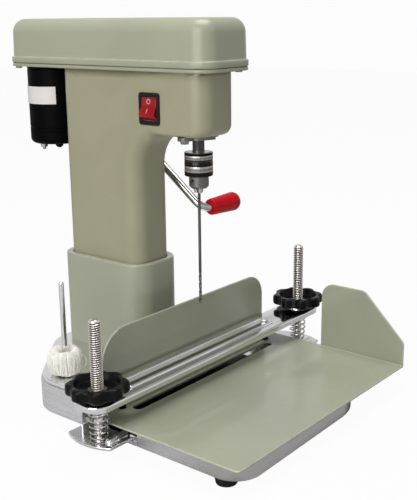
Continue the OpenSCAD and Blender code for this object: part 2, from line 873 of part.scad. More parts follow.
// Shouldered stud, riveted into the rail, with turned ridges for its thread
module stud(x) {
    plain_h = 22;
    ridges = floor((stud_h - plain_h - 3) / stud_pitch);
    start = stud_h - 2 - ridges * stud_pitch;
    land = stud_pitch / 6;
    profile = concat(
        [[0, 0], [stud_root_d / 2, 0], [stud_root_d / 2, start]],
        [for (i = [0 : ridges - 1]) each [
            [stud_root_d / 2, start + i * stud_pitch + land],
            [stud_d / 2, start + (i + 0.5) * stud_pitch - land],
            [stud_d / 2, start + (i + 0.5) * stud_pitch + land],
            [stud_root_d / 2, start + (i + 1) * stud_pitch - land]
        ]],
        [[stud_root_d / 2, stud_h - 1], [stud_root_d / 2 - 1, stud_h], [0, stud_h]]
    );
    translate([x, 0, z_rail_top]) rotate_extrude() polygon(profile);
    rod_z(x, 0, z_rail, z_rail_top + 1, stud_spigot_d - screw_gap / 2);
}

module left_spring() {
    color(chrome) place() clamp_spring("left_spring", -stud_left);
}
module right_spring() {
    color(chrome) place() clamp_spring("right_spring", stud_right);
}
module clamp_spring(name, x) {
    coil(name, x, 0, z_rail_top + slide_gap, z_bar_top - bar_t - slide_gap,
         spring_d, spring_wire, spring_curls);
}

// Channel with its lips down, a drill slot and a bead on each side of the slot
module clamp_bar() {
    x0 = -stud_left - bar_overhang;
    x1 = stud_right + bar_overhang;
    bead_y = bar_slot_w / 2 + bead_r + 1;
    color(chrome) place() difference() {
        union() {
            slab(x0, x1, -bar_front, bar_rear, z_bar, z_bar_top, bar_corner_r, bar_corner_r);
            for (y = [-bead_y, bead_y]) intersection() {
                rod_along_x(y, z_bar_top, -bar_slot_reach, bar_slot_reach, 2 * bead_r);
                box(x0, x1, -bar_front, bar_rear, z_bar_top - 1, z_bar_top + bead_r + 1);
            }
        }
        slab(x0, x1, -bar_front, bar_rear, z_bar - 1, z_bar_top - bar_t,
             bar_corner_r, bar_corner_r, -bar_t);
        slot_x(-bar_slot_reach, bar_slot_reach, 0, bar_slot_w, z_bar - 1, z_bar_top + bead_r + 1);
        for (x = stud_xs) rod_z(x, 0, z_bar - 1, z_bar_top + 1, stud_d + 1);
    }
}

module clamp_washers() {
    stud_room = 1;
    color(steel) place() for (x = stud_xs) difference() {
        rod_z(x, 0, z_bar_top, z_bar_top + washer_t, washer_d);
        rod_z(x, 0, z_bar_top - 1, z_bar_top + washer_t + 1, stud_d + stud_room);
    }
}

module left_knob() {
    color(black) place() knob(-stud_left);
}
module right_knob() {
    color(black) place() knob(stud_right);
}

// Star knob: a disc with lobes, dished on top, on a short hub
module knob(x) {
    lobe_r = knob_d / 8.5;
    hub_h = 3;
    hub_wall = 6;
    translate([x, 0, z_knob]) difference() {
        union() {
            cylinder(h = hub_h + 1, d = insert_d + 2 * hub_wall);
            translate([0, 0, hub_h]) linear_extrude(knob_h - hub_h) {
                circle(knob_d / 2 - 3.5);
                for (i = [0 : knob_lobes - 1]) rotate(360 / knob_lobes * i)
                    translate([knob_d / 2 - lobe_r, 0]) circle(lobe_r);
            }
        }
        translate([0, 0, knob_h - knob_dish]) difference() {
            cylinder(h = knob_dish + 1, r = knob_d / 2 - 8);
            translate([0, 0, -1]) cylinder(h = 1.5, d = insert_d + 4);
        }
        translate([0, 0, -1]) cylinder(h = knob_h + 2, d = insert_d);
    }
}

module left_knob_insert() {
    color(brass) place() knob_insert(-stud_left);
}
module right_knob_insert() {
    color(brass) place() knob_insert(stud_right);
}
module knob_insert(x) {
    difference() {
        rod_z(x, 0, z_knob, z_knob + knob_h - knob_dish, insert_d - 0.02);
        rod_z(x, 0, z_knob - 1, z_knob + knob_h, stud_d + 0.3);
    }
}

module head_casting() {
    half_w = column_w / 2;
    color(sage) place() difference() {
        union() {
            difference() {
                union() {
                    arm();
                    slab(-half_w, half_w, column_front, column_rear, z_column, arm_under + 1,
                         column_front_r, column_rear_r);
                    throat();
                }
                head_hollows();
            }
            // Bosses for the feed shaft, and the shelf that the return spring pushes up
            rod_along_x(pivot_y, z_pivot, -cavity_half_w - 1, boss_len - cavity_half_w, boss_d);
            rod_along_x(pivot_y, z_pivot, cavity_half_w - boss_len, cavity_half_w + 1, boss_d);
            intersection() {
                slab(-half_w, half_w, column_front, column_rear, z_seat, z_seat + seat_t,
                     column_front_r, column_rear_r, 1 - column_wall);
                box(-half_w, half_w, column_front, return_y + return_d / 2 + seat_rim,
                    z_seat, z_seat + seat_t);
            }
        }
        rod_along_x(pivot_y, z_pivot, -cavity_half_w, half_w + 1, feed_shaft_d + 2 * bush_wall);
        rod_along_y(0, gland_z, cavity_rear - 1, column_rear + 1, gland_d);
        box(-half_w - 1, 1 - cavity_half_w, switch_y - switch_w / 2 + 2, switch_y + switch_w / 2 - 2,
            switch_z - switch_h / 2 + 1.8, switch_z + switch_h / 2 - 1.8);
    }
}

// Arm with rounded corners in plan and a rounded lower edge across the nose
module arm() {
    half_w = column_w / 2;
    intersection() {
        slab(-half_w, half_w, -nose_front, column_rear, arm_under, z_arm_top, nose_r, column_rear_r);
        translate([-half_w - 1, 0, 0]) rotate([90, 0, 90]) linear_extrude(column_w + 2) {
            polygon([
                [-nose_front, arm_under + nose_edge_r], [nose_edge_r - nose_front, arm_under],
                [column_rear, arm_under], [column_rear, z_arm_top], [-nose_front, z_arm_top]
            ]);
            translate([nose_edge_r - nose_front, arm_under + nose_edge_r]) circle(nose_edge_r);
        }
    }
}

// Concave fillet from the arm's underside into the column, with the column's rounded corners
module throat() {
    half_w = column_w / 2;
    flat_w = half_w - column_front_r;
    deep = throat_r + column_front_r + 4;
    translate([0, column_front - throat_r, arm_under - throat_r]) rotate([90, 0, 90])
        rotate_extrude(angle = 90) {
            translate([throat_r, -flat_w]) square([deep - throat_r, 2 * flat_w]);
            translate([throat_r + column_front_r, -half_w])
                square([deep - throat_r - column_front_r, column_w]);
            for (x = [-flat_w, flat_w]) translate([throat_r + column_front_r, x]) circle(column_front_r);
        }
}

module head_hollows() {
    web = 6;
    nose_rear = bearing_d / 2 + web;
    slab(-column_w / 2, column_w / 2, column_front, column_rear, z_column - 1, z_arm_top + 1,
         column_front_r, column_rear_r, -column_wall);
    slab(-cavity_half_w, cavity_half_w, nose_rear, cavity_front + column_front_r,
         arm_under + column_wall, z_arm_top + 1, 2, 2);
    rod_z(0, 0, arm_under - 1, z_arm_top + 1, bearing_d - 6);
    rod_z(0, 0, arm_under - 1, bearing_zs[0] + bearing_w, bearing_d);
    rod_z(0, 0, bearing_zs[1], z_arm_top + 1, bearing_d);
}

// Block with the cover's outline, moved out by grow
module cover_slab(z0, z1, grow) {
    slab(-cover_w / 2, cover_w / 2, -cover_front, cover_rear, z0, z1, cover_r, cover_r, grow);
}

// Flat tray on the head, with a lip inside the cover and holes for spindle, motor and post
module belt_tray() {
    lip_h = 5;
    lip_t = 2;
    bearing_room = 1;
    shaft_room = 6;
    rack_room = 3;
    post_room = 4;
    screw_room = 0.4;
    boss_room = 1;
    inside = rim_step + cover_wall + slide_gap;
    color(sage) place() difference() {
        union() {
            cover_slab(z_arm_top, z_tray_top, -tray_inset);
            difference() {
                cover_slab(z_arm_top, z_tray_top + lip_h, -inside);
                cover_slab(z_arm_top - 1, z_tray_top + lip_h + 1, -inside - lip_t);
                for (p = cover_screw_places)
                    rod_z(p.x, p.y, z_tray_top, z_tray_top + lip_h + 1, cover_boss_d + boss_room);
            }
        }
        rod_z(0, 0, z_arm_top - 1, z_tray_top + lip_h, bearing_d + bearing_room);
        rod_z(0, motor_y, z_arm_top - 1, z_tray_top + lip_h, motor_shaft_d + shaft_room);
        box(-tray_hole_x, tray_hole_x, rack_y - gear_module - rack_room, post_y + post_depth + post_room,
            z_arm_top - 1, z_tray_top + 1);
        for (p = cover_screw_places)
            rod_z(p.x, p.y, z_arm_top - 1, z_tray_top + 1, cover_screw_d + screw_room);
        rod_z(-motor_bolt_x, motor_y, z_arm_top - 1, z_tray_top + 1, cover_screw_d + screw_room);
    }
}

// Closed dome with rounded top edges, between two heights
module dome(grow, z0, z1, edge_r) {
    circles = rect_circles(-cover_w / 2, cover_w / 2, -cover_front, cover_rear, cover_r, cover_r);
    hull() {
        translate([0, 0, z0]) linear_extrude(0.1) round_outline(circles, grow, $fn = 32);
        for (a = [0 : 15 : 90])
            translate([0, 0, z1 - edge_r + (edge_r - 0.1) * sin(a)])
                linear_extrude(0.1) round_outline(circles, grow - edge_r * (1 - cos(a)), $fn = 32);
    }
}

module belt_cover() {
    color(sage) place() difference() {
        union() {
            difference() {
                dome(-rim_step, z_tray_top, z_cover_top, cover_edge_r);
                dome(-rim_step - cover_wall, z_tray_top - 1, z_cover_top - cover_wall,
                     cover_edge_r - cover_wall);
            }
            difference() {
                cover_slab(z_rim, z_rim + rim_h, 0);
                cover_slab(z_rim - 1, z_rim + rim_h + 1, -rim_step - 1);
            }
            for (p = cover_screw_places)
                rod_z(p.x, p.y, z_tray_top, z_tray_top + cover_screw_len + 4, cover_boss_d);
        }
        for (p = cover_screw_places)
            rod_z(p.x, p.y, z_tray_top - 1, z_tray_top + cover_screw_len + 1, cover_screw_d);
    }
}

module cover_screws() {
    head_h = 2.4;
    head_d = 7;
    color(steel) place() for (p = cover_screw_places) {
        rod_z(p.x, p.y, z_arm_top - head_h, z_arm_top, head_d);
        rod_z(p.x, p.y, z_arm_top - 1, z_tray_top + cover_screw_len, cover_screw_d - screw_gap);
    }
}

// Motor housing open at the bottom, closed by the end cap
module motor_can() {
    wall = 3;
    end_t = 6;
    color(black) place() difference() {
        rod_z(0, motor_y, z_motor + motor_cap_len, z_arm_top, motor_d);
        rod_z(0, motor_y, z_motor + motor_cap_len - 1, z_arm_top - end_t, motor_d - 2 * wall);
        rod_z(0, motor_y, z_arm_top - end_t - 1, z_arm_top + 1, motor_shaft_d + 2 * run_gap);
        rod_z(-motor_bolt_x, motor_y, z_arm_top - end_t - 1, z_arm_top + 1, motor_bolt_d);
    }
}

module motor_end_cap() {
    edge_r = 6;
    cap_plate = 5;
    cap_wall = 6;
    dome_r = 4.5;
    dome_out = 17;
    dome_turn = 235;
    lip_h = 3;
    color(black) place() difference() {
        union() {
            translate([0, motor_y, z_motor]) rotate_extrude() union() {
                translate([0, edge_r]) square([motor_r, motor_cap_len - edge_r]);
                square([motor_r - edge_r, edge_r + 1]);
                translate([motor_r - edge_r, edge_r]) circle(edge_r);
                translate([0, motor_cap_len - 1]) square([motor_r - 3.2, lip_h]);
            }
            translate([dome_out * cos(dome_turn), motor_y + dome_out * sin(dome_turn), z_motor]) intersection() {
                sphere(r = dome_r);
                translate([0, 0, -2 * dome_r]) cylinder(h = 2 * dome_r + 0.5, r = 2 * dome_r);
            }
        }
        rod_z(0, motor_y, z_motor + cap_plate, z_motor + motor_cap_len + lip_h, motor_d - 2 * cap_wall);
        rod_z(0, motor_y, z_motor + 2, z_motor + cap_plate + 1, motor_shaft_d + 2 * run_gap);
        rod_z(-motor_bolt_x, motor_y, z_motor - 1, z_motor + motor_cap_len + lip_h, motor_bolt_d);
    }
}

// Long bolt that holds the motor under the tray, with its nut below the end cap
module motor_bolt() {
    nut_h = 3.2;
    nut_d = 8;
    tail = 6;
    head_h = 2.5;
    head_d = 7;
    color(steel) place() translate([-motor_bolt_x, motor_y, 0]) {
        translate([0, 0, z_motor - tail]) cylinder(h = z_tray_top - z_motor + tail, d = motor_bolt_d - 0.1);
        translate([0, 0, z_motor - nut_h]) cylinder(h = nut_h, d = nut_d, $fn = 6);
        translate([0, 0, z_tray_top]) cylinder(h = head_h, d = head_d);
    }
}

// Bare plate curved around the motor
module motor_plate() {
    plate_t = 0.6;
    plate_h = 19;
    plate_drop = 41;
    spread = 100;
    z0 = z_arm_top - plate_drop;
    color([0.85, 0.84, 0.84]) place() translate([0, motor_y, z0]) rotate(180 - spread / 2)
        rotate_extrude(angle = spread) translate([motor_r + 0.1, 0]) square([plate_t, plate_h]);
}

// Switch body through the casting's left wall, with a flat bezel outside
module switch_bezel() {
    depth = 20;
    bezel_r = 3;
    side_gap = 0.3;
    half_w = column_w / 2;
    window = rocker_r + 0.25;
    color(black) place() difference() {
        union() {
            translate([-half_w - bezel_t, switch_y, switch_z]) rotate([90, 0, 90]) linear_extrude(bezel_t)
                round_outline(rect_circles(-switch_w / 2, switch_w / 2, -switch_h / 2, switch_h / 2,
                                           bezel_r, bezel_r));
            box(-half_w - 1, depth - half_w, switch_y - switch_w / 2 + 2.1, switch_y + switch_w / 2 - 2.1,
                switch_z - switch_h / 2 + 1.9, switch_z + switch_h / 2 - 1.9);
        }
        box(-half_w - bezel_t - 1, depth - half_w - 1.5,
            switch_y - rocker_w / 2 - side_gap, switch_y + rocker_w / 2 + side_gap,
            switch_z - window, switch_z + window);
    }
}

// Rocker that turns about Y: its upper half lies in, its lower half stands out
module switch_rocker() {
    lift = 3.2;
    crest = 4.6;
    lower = 7.8;
    axis_x = -column_w / 2 - bezel_t + rocker_axis;
    color(red) place() translate([axis_x, switch_y + rocker_w / 2, switch_z]) rotate([90, 0, 0])
        linear_extrude(rocker_w) mirror([1, 0]) intersection() {
            circle(rocker_r);
            polygon([
                [-6, -rocker_r], [lower, -rocker_r], [crest, 0], [lift, rocker_r], [-6, rocker_r]
            ]);
        }
}

module spindle_bearings() {
    color(steel) place() for (z = bearing_zs) difference() {
        rod_z(0, 0, z, z + bearing_w, bearing_d - 0.02);
        rod_z(0, 0, z - 1, z + bearing_w + 1, spindle_d + 2 * run_gap);
    }
}

// Plate under the nose that keeps the lower bearing in
module bearing_cap() {
    plate_r = bearing_d / 2 + 2.5;
    color(steel) place() translate([0, 0, arm_under - cap_t]) difference() {
        linear_extrude(cap_t) {
            circle(plate_r);
            round_outline([[-cap_screw_x, 0, cap_ear_r], [cap_screw_x, 0, cap_ear_r]]);
        }
        translate([0, 0, -1]) cylinder(h = cap_t + 2, d = spindle_d + 5);
        for (x = [-cap_screw_x, cap_screw_x]) translate([x, 0, -1])
            cylinder(h = cap_t + 2, d = cap_screw_d);
    }
}

module cap_screws() {
    head_h = 3.2;
    head_d = 8.4;
    color(chrome) place() for (x = [-cap_screw_x, cap_screw_x]) translate([x, 0, arm_under - cap_t]) {
        translate([0, 0, -head_h]) cylinder(h = head_h, d = head_d, $fn = 6);
        translate([0, 0, -1]) cylinder(h = cap_t + 1, d = cap_screw_d - 0.1);
    }
}

// A bush in each boss of the head for the feed shaft
module feed_bushes() {
    outer = feed_shaft_d + 2 * bush_wall - 0.02;
    color(bronze) place() difference() {
        union() {
            rod_along_x(pivot_y, z_pivot, 0.2 - cavity_half_w, boss_len - cavity_half_w, outer);
            rod_along_x(pivot_y, z_pivot, cavity_half_w - boss_len, column_w / 2, outer);
        }
        rod_along_x(pivot_y, z_pivot, -column_w / 2, column_w / 2 + 1, feed_shaft_d + 2 * run_gap);
    }
}

// Two blocks in the column that slide on the guide post
module guide_liners() {
    color(bronze) place() for (z = liner_zs) difference() {
        intersection() {
            slab(-column_w / 2, column_w / 2, column_front, column_rear, z, z + liner_h,
                 column_front_r, column_rear_r, -column_wall - liner_gap);
            box(-cavity_half_w, cavity_half_w, liner_front, cavity_rear, z, z + liner_h);
        }
        box(-post_w / 2 - post_gap, post_w / 2 + post_gap, post_y - post_gap,
            post_y + post_depth + post_gap, z - 1, z + liner_h + 1);
        box(-rack_w / 2 - slide_gap, rack_w / 2 + slide_gap, rack_y - gear_module - slide_gap, post_y,
            z - 1, z + liner_h + 1);
    }
}

module drive_belt() {
    belt_circles = [[0, 0, spindle_pulley_r + belt_gap], [0, motor_y, motor_pulley_r + belt_gap]];
    color(black) place() translate([0, 0, z_pulley + (pulley_h - belt_h) / 2]) linear_extrude(belt_h)
        difference() {
            round_outline(belt_circles, belt_t);
            round_outline(belt_circles);
        }
}

// Bush for the supply cord in the column's rear wall
module cord_gland() {
    flange_d = 18;
    color(black) place() difference() {
        union() {
            rod_along_y(0, gland_z, cavity_rear - 3, column_rear + 6, gland_d - 0.05);
            rod_along_y(0, gland_z, column_rear, column_rear + 3, flange_d);
        }
        rod_along_y(0, gland_z, cavity_rear - 4, column_rear + 7, gland_bore_d);
    }
}

module spindle_shaft() {
    shoulder_d = spindle_d + 4;
    color(steel) place() {
        rod_z(0, 0, z_chuck_top - 8, z_pulley + pulley_h + 2, spindle_d);
        rod_z(0, 0, bearing_zs[0] + bearing_w + 0.2, bearing_zs[1] - 0.2, shoulder_d);
    }
}

// Pulley with a V groove for the belt
module pulley(y, groove_r, bore) {
    flange_r = groove_r + pulley_flange;
    land = 2;
    translate([0, y, z_pulley]) difference() {
        rotate_extrude() polygon([
            [0, 0], [flange_r, 0], [flange_r, land], [groove_r, land + 0.8],
            [groove_r, pulley_h - land - 0.8], [flange_r, pulley_h - land],
            [flange_r, pulley_h], [0, pulley_h]
        ]);
        translate([0, 0, -1]) cylinder(h = pulley_h + 2, d = bore);
    }
}

module spindle_pulley() {
    color(satin) place() pulley(0, spindle_pulley_r, spindle_d);
}

// Chuck core: collar on the spindle, nose with key holes, slanted bores for the jaws
module chuck_body() {
    nose_top = z_chuck + nose_h;
    color(steel) place() difference() {
        union() {
            rod_z(0, 0, z_chuck_top - collar_h, z_chuck_top, chuck_d - 1);
            rod_z(0, 0, nose_top - 1, z_chuck_top - 1, chuck_core_d);
            rod_z(0, 0, z_chuck + 2, nose_top, chuck_nose_d);
            translate([0, 0, z_chuck]) cylinder(h = 2, d1 = chuck_nose_d - 4, d2 = chuck_nose_d);
        }
        rod_z(0, 0, z_chuck_top - 8, z_chuck_top + 1, spindle_d);
        rod_z(0, 0, z_chuck - 1, z_chuck_top - 8.5, 7);
        for (i = [0 : 2]) {
            jaw_place(i) translate([0, 0, -3])
                cylinder(h = jaw_len + jaw_travel + 3.3, d = jaw_d + 2 * jaw_gap);
            rotate(120 * i + 60)
                rod_along_x(0, z_chuck + 7, chuck_nose_d / 2 - 4, chuck_nose_d, key_hole_d);
        }
    }
}

// Local axis of a jaw: it starts beside the drill and leans outwards going up
module jaw_place(i) {
    rotate(120 * i) translate([jaw_axis_r, 0, z_chuck - jaw_out]) rotate([0, jaw_slant, 0]) children();
}

// Round jaw, flat where it grips the drill and kept inside its third of the circle
module chuck_jaw(i) {
    grip_r = drill_d / 2 + 0.05;
    reach = 20;
    third = 57;
    intersection() {
        jaw_place(i) translate([0, 0, -1]) cylinder(h = jaw_len + 1, d = jaw_d);
        rotate(120 * i) translate([0, 0, z_chuck - jaw_out]) linear_extrude(jaw_len + 8) polygon([
            [grip_r, -grip_r * tan(third)], [reach, -reach * tan(third)],
            [reach, reach * tan(third)], [grip_r, grip_r * tan(third)]
        ]);
    }
}

module chuck_jaw_1() {
    color(steel) place() chuck_jaw(0);
}
module chuck_jaw_2() {
    color(steel) place() chuck_jaw(1);
}
module chuck_jaw_3() {
    color(steel) place() chuck_jaw(2);
}

module chuck_sleeve() {
    z0 = z_chuck + nose_h + slide_gap;
    z1 = z_chuck_top - collar_h - slide_gap;
    color(steel) place() difference() {
        rod_z(0, 0, z0, z1, chuck_d);
        rod_z(0, 0, z0 - 1, z1 + 1, chuck_core_d + 2 * run_gap);
    }
}

module drill_bit() {
    point_h = drill_d / 2 / tan(59);
    color(steel) place() {
        rod_z(0, 0, z_tip + point_h, z_chuck_top - 10, drill_d);
        translate([0, 0, z_tip]) cylinder(h = point_h, r1 = 0.1, d2 = drill_d);
    }
}

// Rotor and shaft inside the motor
module motor_shaft() {
    end_gap = 2.5;
    rotor_low = 6;
    rotor_high = 14;
    rotor_d = 2 * (motor_bolt_x - motor_bolt_d);
    color(steel) place() {
        rod_z(0, motor_y, z_motor + end_gap, z_pulley + pulley_h + 2, motor_shaft_d);
        rod_z(0, motor_y, z_motor + motor_cap_len + rotor_low, z_arm_top - rotor_high, rotor_d);
    }
}

module motor_pulley() {
    color(satin) place() pulley(motor_y, motor_pulley_r, motor_shaft_d);
}

// Point of an involute at radius r, as an angle from where it leaves the base circle
function involute_turn(r, base_r) =
    let (t = sqrt(max(r * r / base_r / base_r - 1, 0))) t * 180 / PI - atan(t);

// Feed shaft with its pinion, along X, one tooth pointing at the rack
module feed_pinion() {
    base_r = pitch_r * cos(20);
    tip_r = pitch_r + 0.9 * gear_module;
    root_r = pitch_r - 1.25 * gear_module;
    backlash = 0.5;
    half = 90 / pinion_teeth - backlash / 4 / pitch_r * 180 / PI;
    at_pitch = involute_turn(pitch_r, base_r);
    radii = [root_r, base_r, for (k = [1 : 4]) base_r + (tip_r - base_r) * k / 4];
    turns = [for (r = radii) half + at_pitch - involute_turn(r, base_r)];
    count = len(radii);
    outline = [
        for (i = [0 : pinion_teeth - 1]) let (mid = 360 / pinion_teeth * i) each concat(
            [for (k = [0 : count - 1]) radii[k] * [cos(mid - turns[k]), sin(mid - turns[k])]],
            [for (k = [count - 1 : -1 : 0]) radii[k] * [cos(mid + turns[k]), sin(mid + turns[k])]]
        )
    ];
    face_w = rack_w - 1;
    color(steel) place() {
        translate([-face_w / 2, pivot_y, z_pivot]) rotate([90, 0, 90]) linear_extrude(face_w)
            polygon(outline);
        rod_along_x(pivot_y, z_pivot, 0.6 - cavity_half_w, rod_x + rod_d / 2, feed_shaft_d);
    }
}

module lever_hub() {
    color(chrome) place() difference() {
        rod_along_x(pivot_y, z_pivot, hub_x, rod_x + rod_d / 2 + 3, hub_d);
        rod_along_x(pivot_y, z_pivot, hub_x - 1, rod_x + rod_d / 2, feed_shaft_d);
        lever_frame() rod_along_x(0, 0, feed_shaft_d / 2, hub_d, rod_d);
    }
}

// Frame whose +X runs from the lever's axis along the rod, and whose +Z is the machine's +X
module lever_frame() {
    translate([rod_x, pivot_y, z_pivot]) rotate([180 + lever_slope, 0, 0]) rotate([90, 0, 90]) children();
}

// Straight rod from the hub, bent outwards into the grip
module lever_rod() {
    straight = lever_len - rod_bend_r;
    color(chrome) place() lever_frame() {
        rod_along_x(0, 0, feed_shaft_d / 2 + 0.2, straight, rod_d - 0.05);
        translate([straight, 0, rod_bend_r]) rotate([90, 0, 0]) rotate([0, 0, -90])
            rotate_extrude(angle = 90) translate([rod_bend_r, 0]) circle(d = rod_d - 0.05);
        rod_z(lever_len, 0, rod_bend_r, grip_x - rod_x + grip_hole - 1, rod_d - 0.05);
    }
}

// Grip with a round end, wider outwards
module lever_grip() {
    inner_r = grip_d / 2 - 1.6;
    outer_r = grip_d / 2;
    end_r = 7;
    color(red) place() lever_frame() translate([lever_len, 0, grip_x - rod_x]) difference() {
        rotate_extrude() intersection() {
            union() {
                polygon([[0, 0], [inner_r - 1, 0], [inner_r, 1.5], [outer_r, grip_len - end_r],
                         [outer_r - end_r, grip_len], [0, grip_len]]);
                translate([outer_r - end_r, grip_len - end_r]) circle(end_r);
            }
            square([outer_r, grip_len]);
        }
        translate([0, 0, -1]) cylinder(h = grip_hole + 1, d = rod_d);
    }
}

base_casting();
base_lid();
rubber_feet();
foot_screws();
rail_guides();
column_sleeve();
guide_post();
feed_rack();
return_spring();
spring_rod();
thread_post();
thread_core();
thread_winding();
lower_rail();
table_blocks();
table_plate();
rear_fence();
table_screws();
left_stud();
right_stud();
left_spring();
right_spring();
clamp_bar();
clamp_washers();
left_knob();
right_knob();
left_knob_insert();
right_knob_insert();
head_casting();
belt_tray();
belt_cover();
cover_screws();
motor_can();
motor_end_cap();
motor_bolt();
motor_plate();
switch_bezel();
spindle_bearings();
bearing_cap();
cap_screws();
feed_bushes();
guide_liners();
drive_belt();
cord_gland();
spindle_shaft();
spindle_pulley();
chuck_body();
drill_bit();
chuck_sleeve();
chuck_jaw_1();
chuck_jaw_2();
chuck_jaw_3();
motor_shaft();
motor_pulley();
feed_pinion();
lever_hub();
lever_rod();
lever_grip();
switch_rocker();
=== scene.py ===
# %% [markdown]
# # A bench paper drill for thread binding
# The machine drills a row of holes through the back edge of a stack of paper, so that the stack can be sewn
# with thread. The CAD model gives every place and size. This lesson dresses it: each cell makes one piece
# or one finish, says what it is on the real machine, and why it is made that way.

import math

import bmesh
import bpy
import numpy as np
from mathutils import Matrix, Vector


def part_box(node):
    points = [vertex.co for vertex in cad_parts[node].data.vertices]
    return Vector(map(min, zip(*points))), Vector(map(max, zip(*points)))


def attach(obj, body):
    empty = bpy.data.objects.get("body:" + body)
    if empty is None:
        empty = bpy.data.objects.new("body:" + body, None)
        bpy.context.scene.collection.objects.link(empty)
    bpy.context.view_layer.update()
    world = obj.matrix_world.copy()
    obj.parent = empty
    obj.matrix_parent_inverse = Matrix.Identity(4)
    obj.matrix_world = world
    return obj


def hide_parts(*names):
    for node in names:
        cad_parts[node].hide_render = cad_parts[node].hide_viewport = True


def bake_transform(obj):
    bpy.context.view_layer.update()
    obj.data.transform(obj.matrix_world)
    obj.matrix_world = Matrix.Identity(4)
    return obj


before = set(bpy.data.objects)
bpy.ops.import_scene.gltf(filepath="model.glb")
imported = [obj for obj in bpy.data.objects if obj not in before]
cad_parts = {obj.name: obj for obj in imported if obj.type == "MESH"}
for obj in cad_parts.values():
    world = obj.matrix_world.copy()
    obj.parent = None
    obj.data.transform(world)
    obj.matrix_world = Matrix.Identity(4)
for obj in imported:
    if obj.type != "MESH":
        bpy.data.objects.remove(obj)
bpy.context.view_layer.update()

# %% [markdown]
# ## Millimetres from the drill's axis
# The machine is easiest to describe in millimetres from the point where the drill's axis meets the bench.
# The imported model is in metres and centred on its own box. So the drill's place is read from the model, one
# short function takes points across, and two more read a CAD part's box or the middle of it.

# %% From machine millimetres to the model's metres
drill_x, drill_y, _ = np.round(1000 * np.mean(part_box("drill_bit"), axis=0), 2)
MACHINE_CENTRE = np.array([-drill_x, -drill_y, 0.0])


def model_metres(points):
    """Take away the model's centre and divide by 1000."""
    return (np.asarray(points, float) - MACHINE_CENTRE) / 1000


def span(name):
    """A CAD part's lowest and highest corner: its box times 1000 plus the centre, rounded to 0.1."""
    return np.round(1000 * np.array(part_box(name)) + MACHINE_CENTRE, 1)


def middle(name):
    """The middle of a CAD part's box, in machine millimetres."""
    return span(name).mean(axis=0)


print("model's centre in machine millimetres:", MACHINE_CENTRE)

# %% [markdown]
# ## Surfaces as grids of points
# A shell, a bar or a knob is a surface with two directions: along its outline and across its section. If
# the points are kept as a grid, every face joins four neighbours and the numbers of the corners follow from
# the grid alone. One helper makes the faces, and another turns any number of grids into one Blender object.


# %% Grids and pieces
def grid_of(x, y, z):
    """A grid of points from three arrays that are spread over one another."""
    return np.stack(np.broadcast_arrays(x, y, z), axis=-1)


def patch(grid, wrap_u=False, wrap_v=True, caps=False, rim=None):
    """Join neighbours (u, v), (u+1, v), (u+1, v+1), (u, v+1).

    Wrapping joins last to first, caps close both end rows, and rim is a weight that a finish can read.
    """
    rows, columns = grid.shape[:2]
    number = np.arange(rows * columns).reshape(rows, columns)
    ring = np.vstack([number, number[:1]]) if wrap_u else number
    ring = np.hstack([ring, ring[:, :1]]) if wrap_v else ring
    quads = np.stack([ring[:-1, :-1], ring[1:, :-1], ring[1:, 1:], ring[:-1, 1:]], axis=-1)
    faces = quads.reshape(-1, 4).tolist()
    if caps:
        faces += [number[0].tolist(), number[-1, ::-1].tolist()]
    weight = np.zeros((rows, 1)) if rim is None else np.asarray(rim, float).reshape(rows, -1)
    return grid.reshape(-1, 3), faces, np.broadcast_to(weight, (rows, columns)).ravel()


def stand(name, data):
    """Put data into the scene as an object."""
    made = bpy.data.objects.new(name, data)
    bpy.context.scene.collection.objects.link(made)
    return made


def piece(name, patches, body, finish, stands_for=(), sharp=32):
    """Put patches into one mesh, merge the points they share, turn faces outwards and hang it on its body."""
    firsts = np.cumsum([0] + [len(points) for points, _, _ in patches[:-1]])
    points = model_metres(np.vstack([points for points, _, _ in patches]))
    faces = [[corner + first for corner in face] for first, (_, fs, _) in zip(firsts, patches) for face in fs]
    mesh = bpy.data.meshes.new(name)
    mesh.from_pydata(points.tolist(), [], faces)
    rim = mesh.attributes.new("rim", "FLOAT", "POINT")
    rim.data.foreach_set("value", np.concatenate([weight for _, _, weight in patches]).astype(np.float32))
    work = bmesh.new()
    work.from_mesh(mesh)
    bmesh.ops.remove_doubles(work, verts=work.verts, dist=2e-6)
    bmesh.ops.recalc_face_normals(work, faces=work.faces)
    work.to_mesh(mesh)
    work.free()
    mesh.polygons.foreach_set("use_smooth", np.ones(len(mesh.polygons), bool))
    mesh.set_sharp_from_angle(angle=math.radians(sharp))
    mesh.materials.append(finishes[finish])
    made = stand(name, mesh)
    if body:
        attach(made, body)
    if stands_for:
        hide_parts(*stands_for)
    print(name, len(mesh.polygons), "faces")
    return made


# %% [markdown]
# ## Outlines
# Cast and folded parts are mostly flat shapes with rounded corners, given some height. Two ways of drawing
# an outline cover nearly all of them: a band stretched round circles, and a polygon whose corners are
# swapped for arcs. Both also give the outward direction at each point, so an edge can be rounded by moving
# points in and out.


# %% Outline helpers
def full_turn(count):
    """Angles all round, without the last one, which is the first again."""
    return np.linspace(0, 2 * np.pi, count, endpoint=False)


def unit(vectors):
    """Each row divided by its length."""
    return vectors / np.linalg.norm(vectors, axis=1, keepdims=True)


def compass(angles):
    """Directions (cos a, sin a)."""
    return np.stack([np.cos(angles), np.sin(angles)], axis=-1)


def stretched_band(circles, count):
    """In each direction take the circle that reaches furthest: its centre plus its radius that way."""
    circles = np.asarray(circles, float)
    out = compass(full_turn(count))
    best = (circles[:, :2] @ out.T + circles[:, 2:]).argmax(axis=0)
    return circles[best, :2] + circles[best, 2:] * out, out


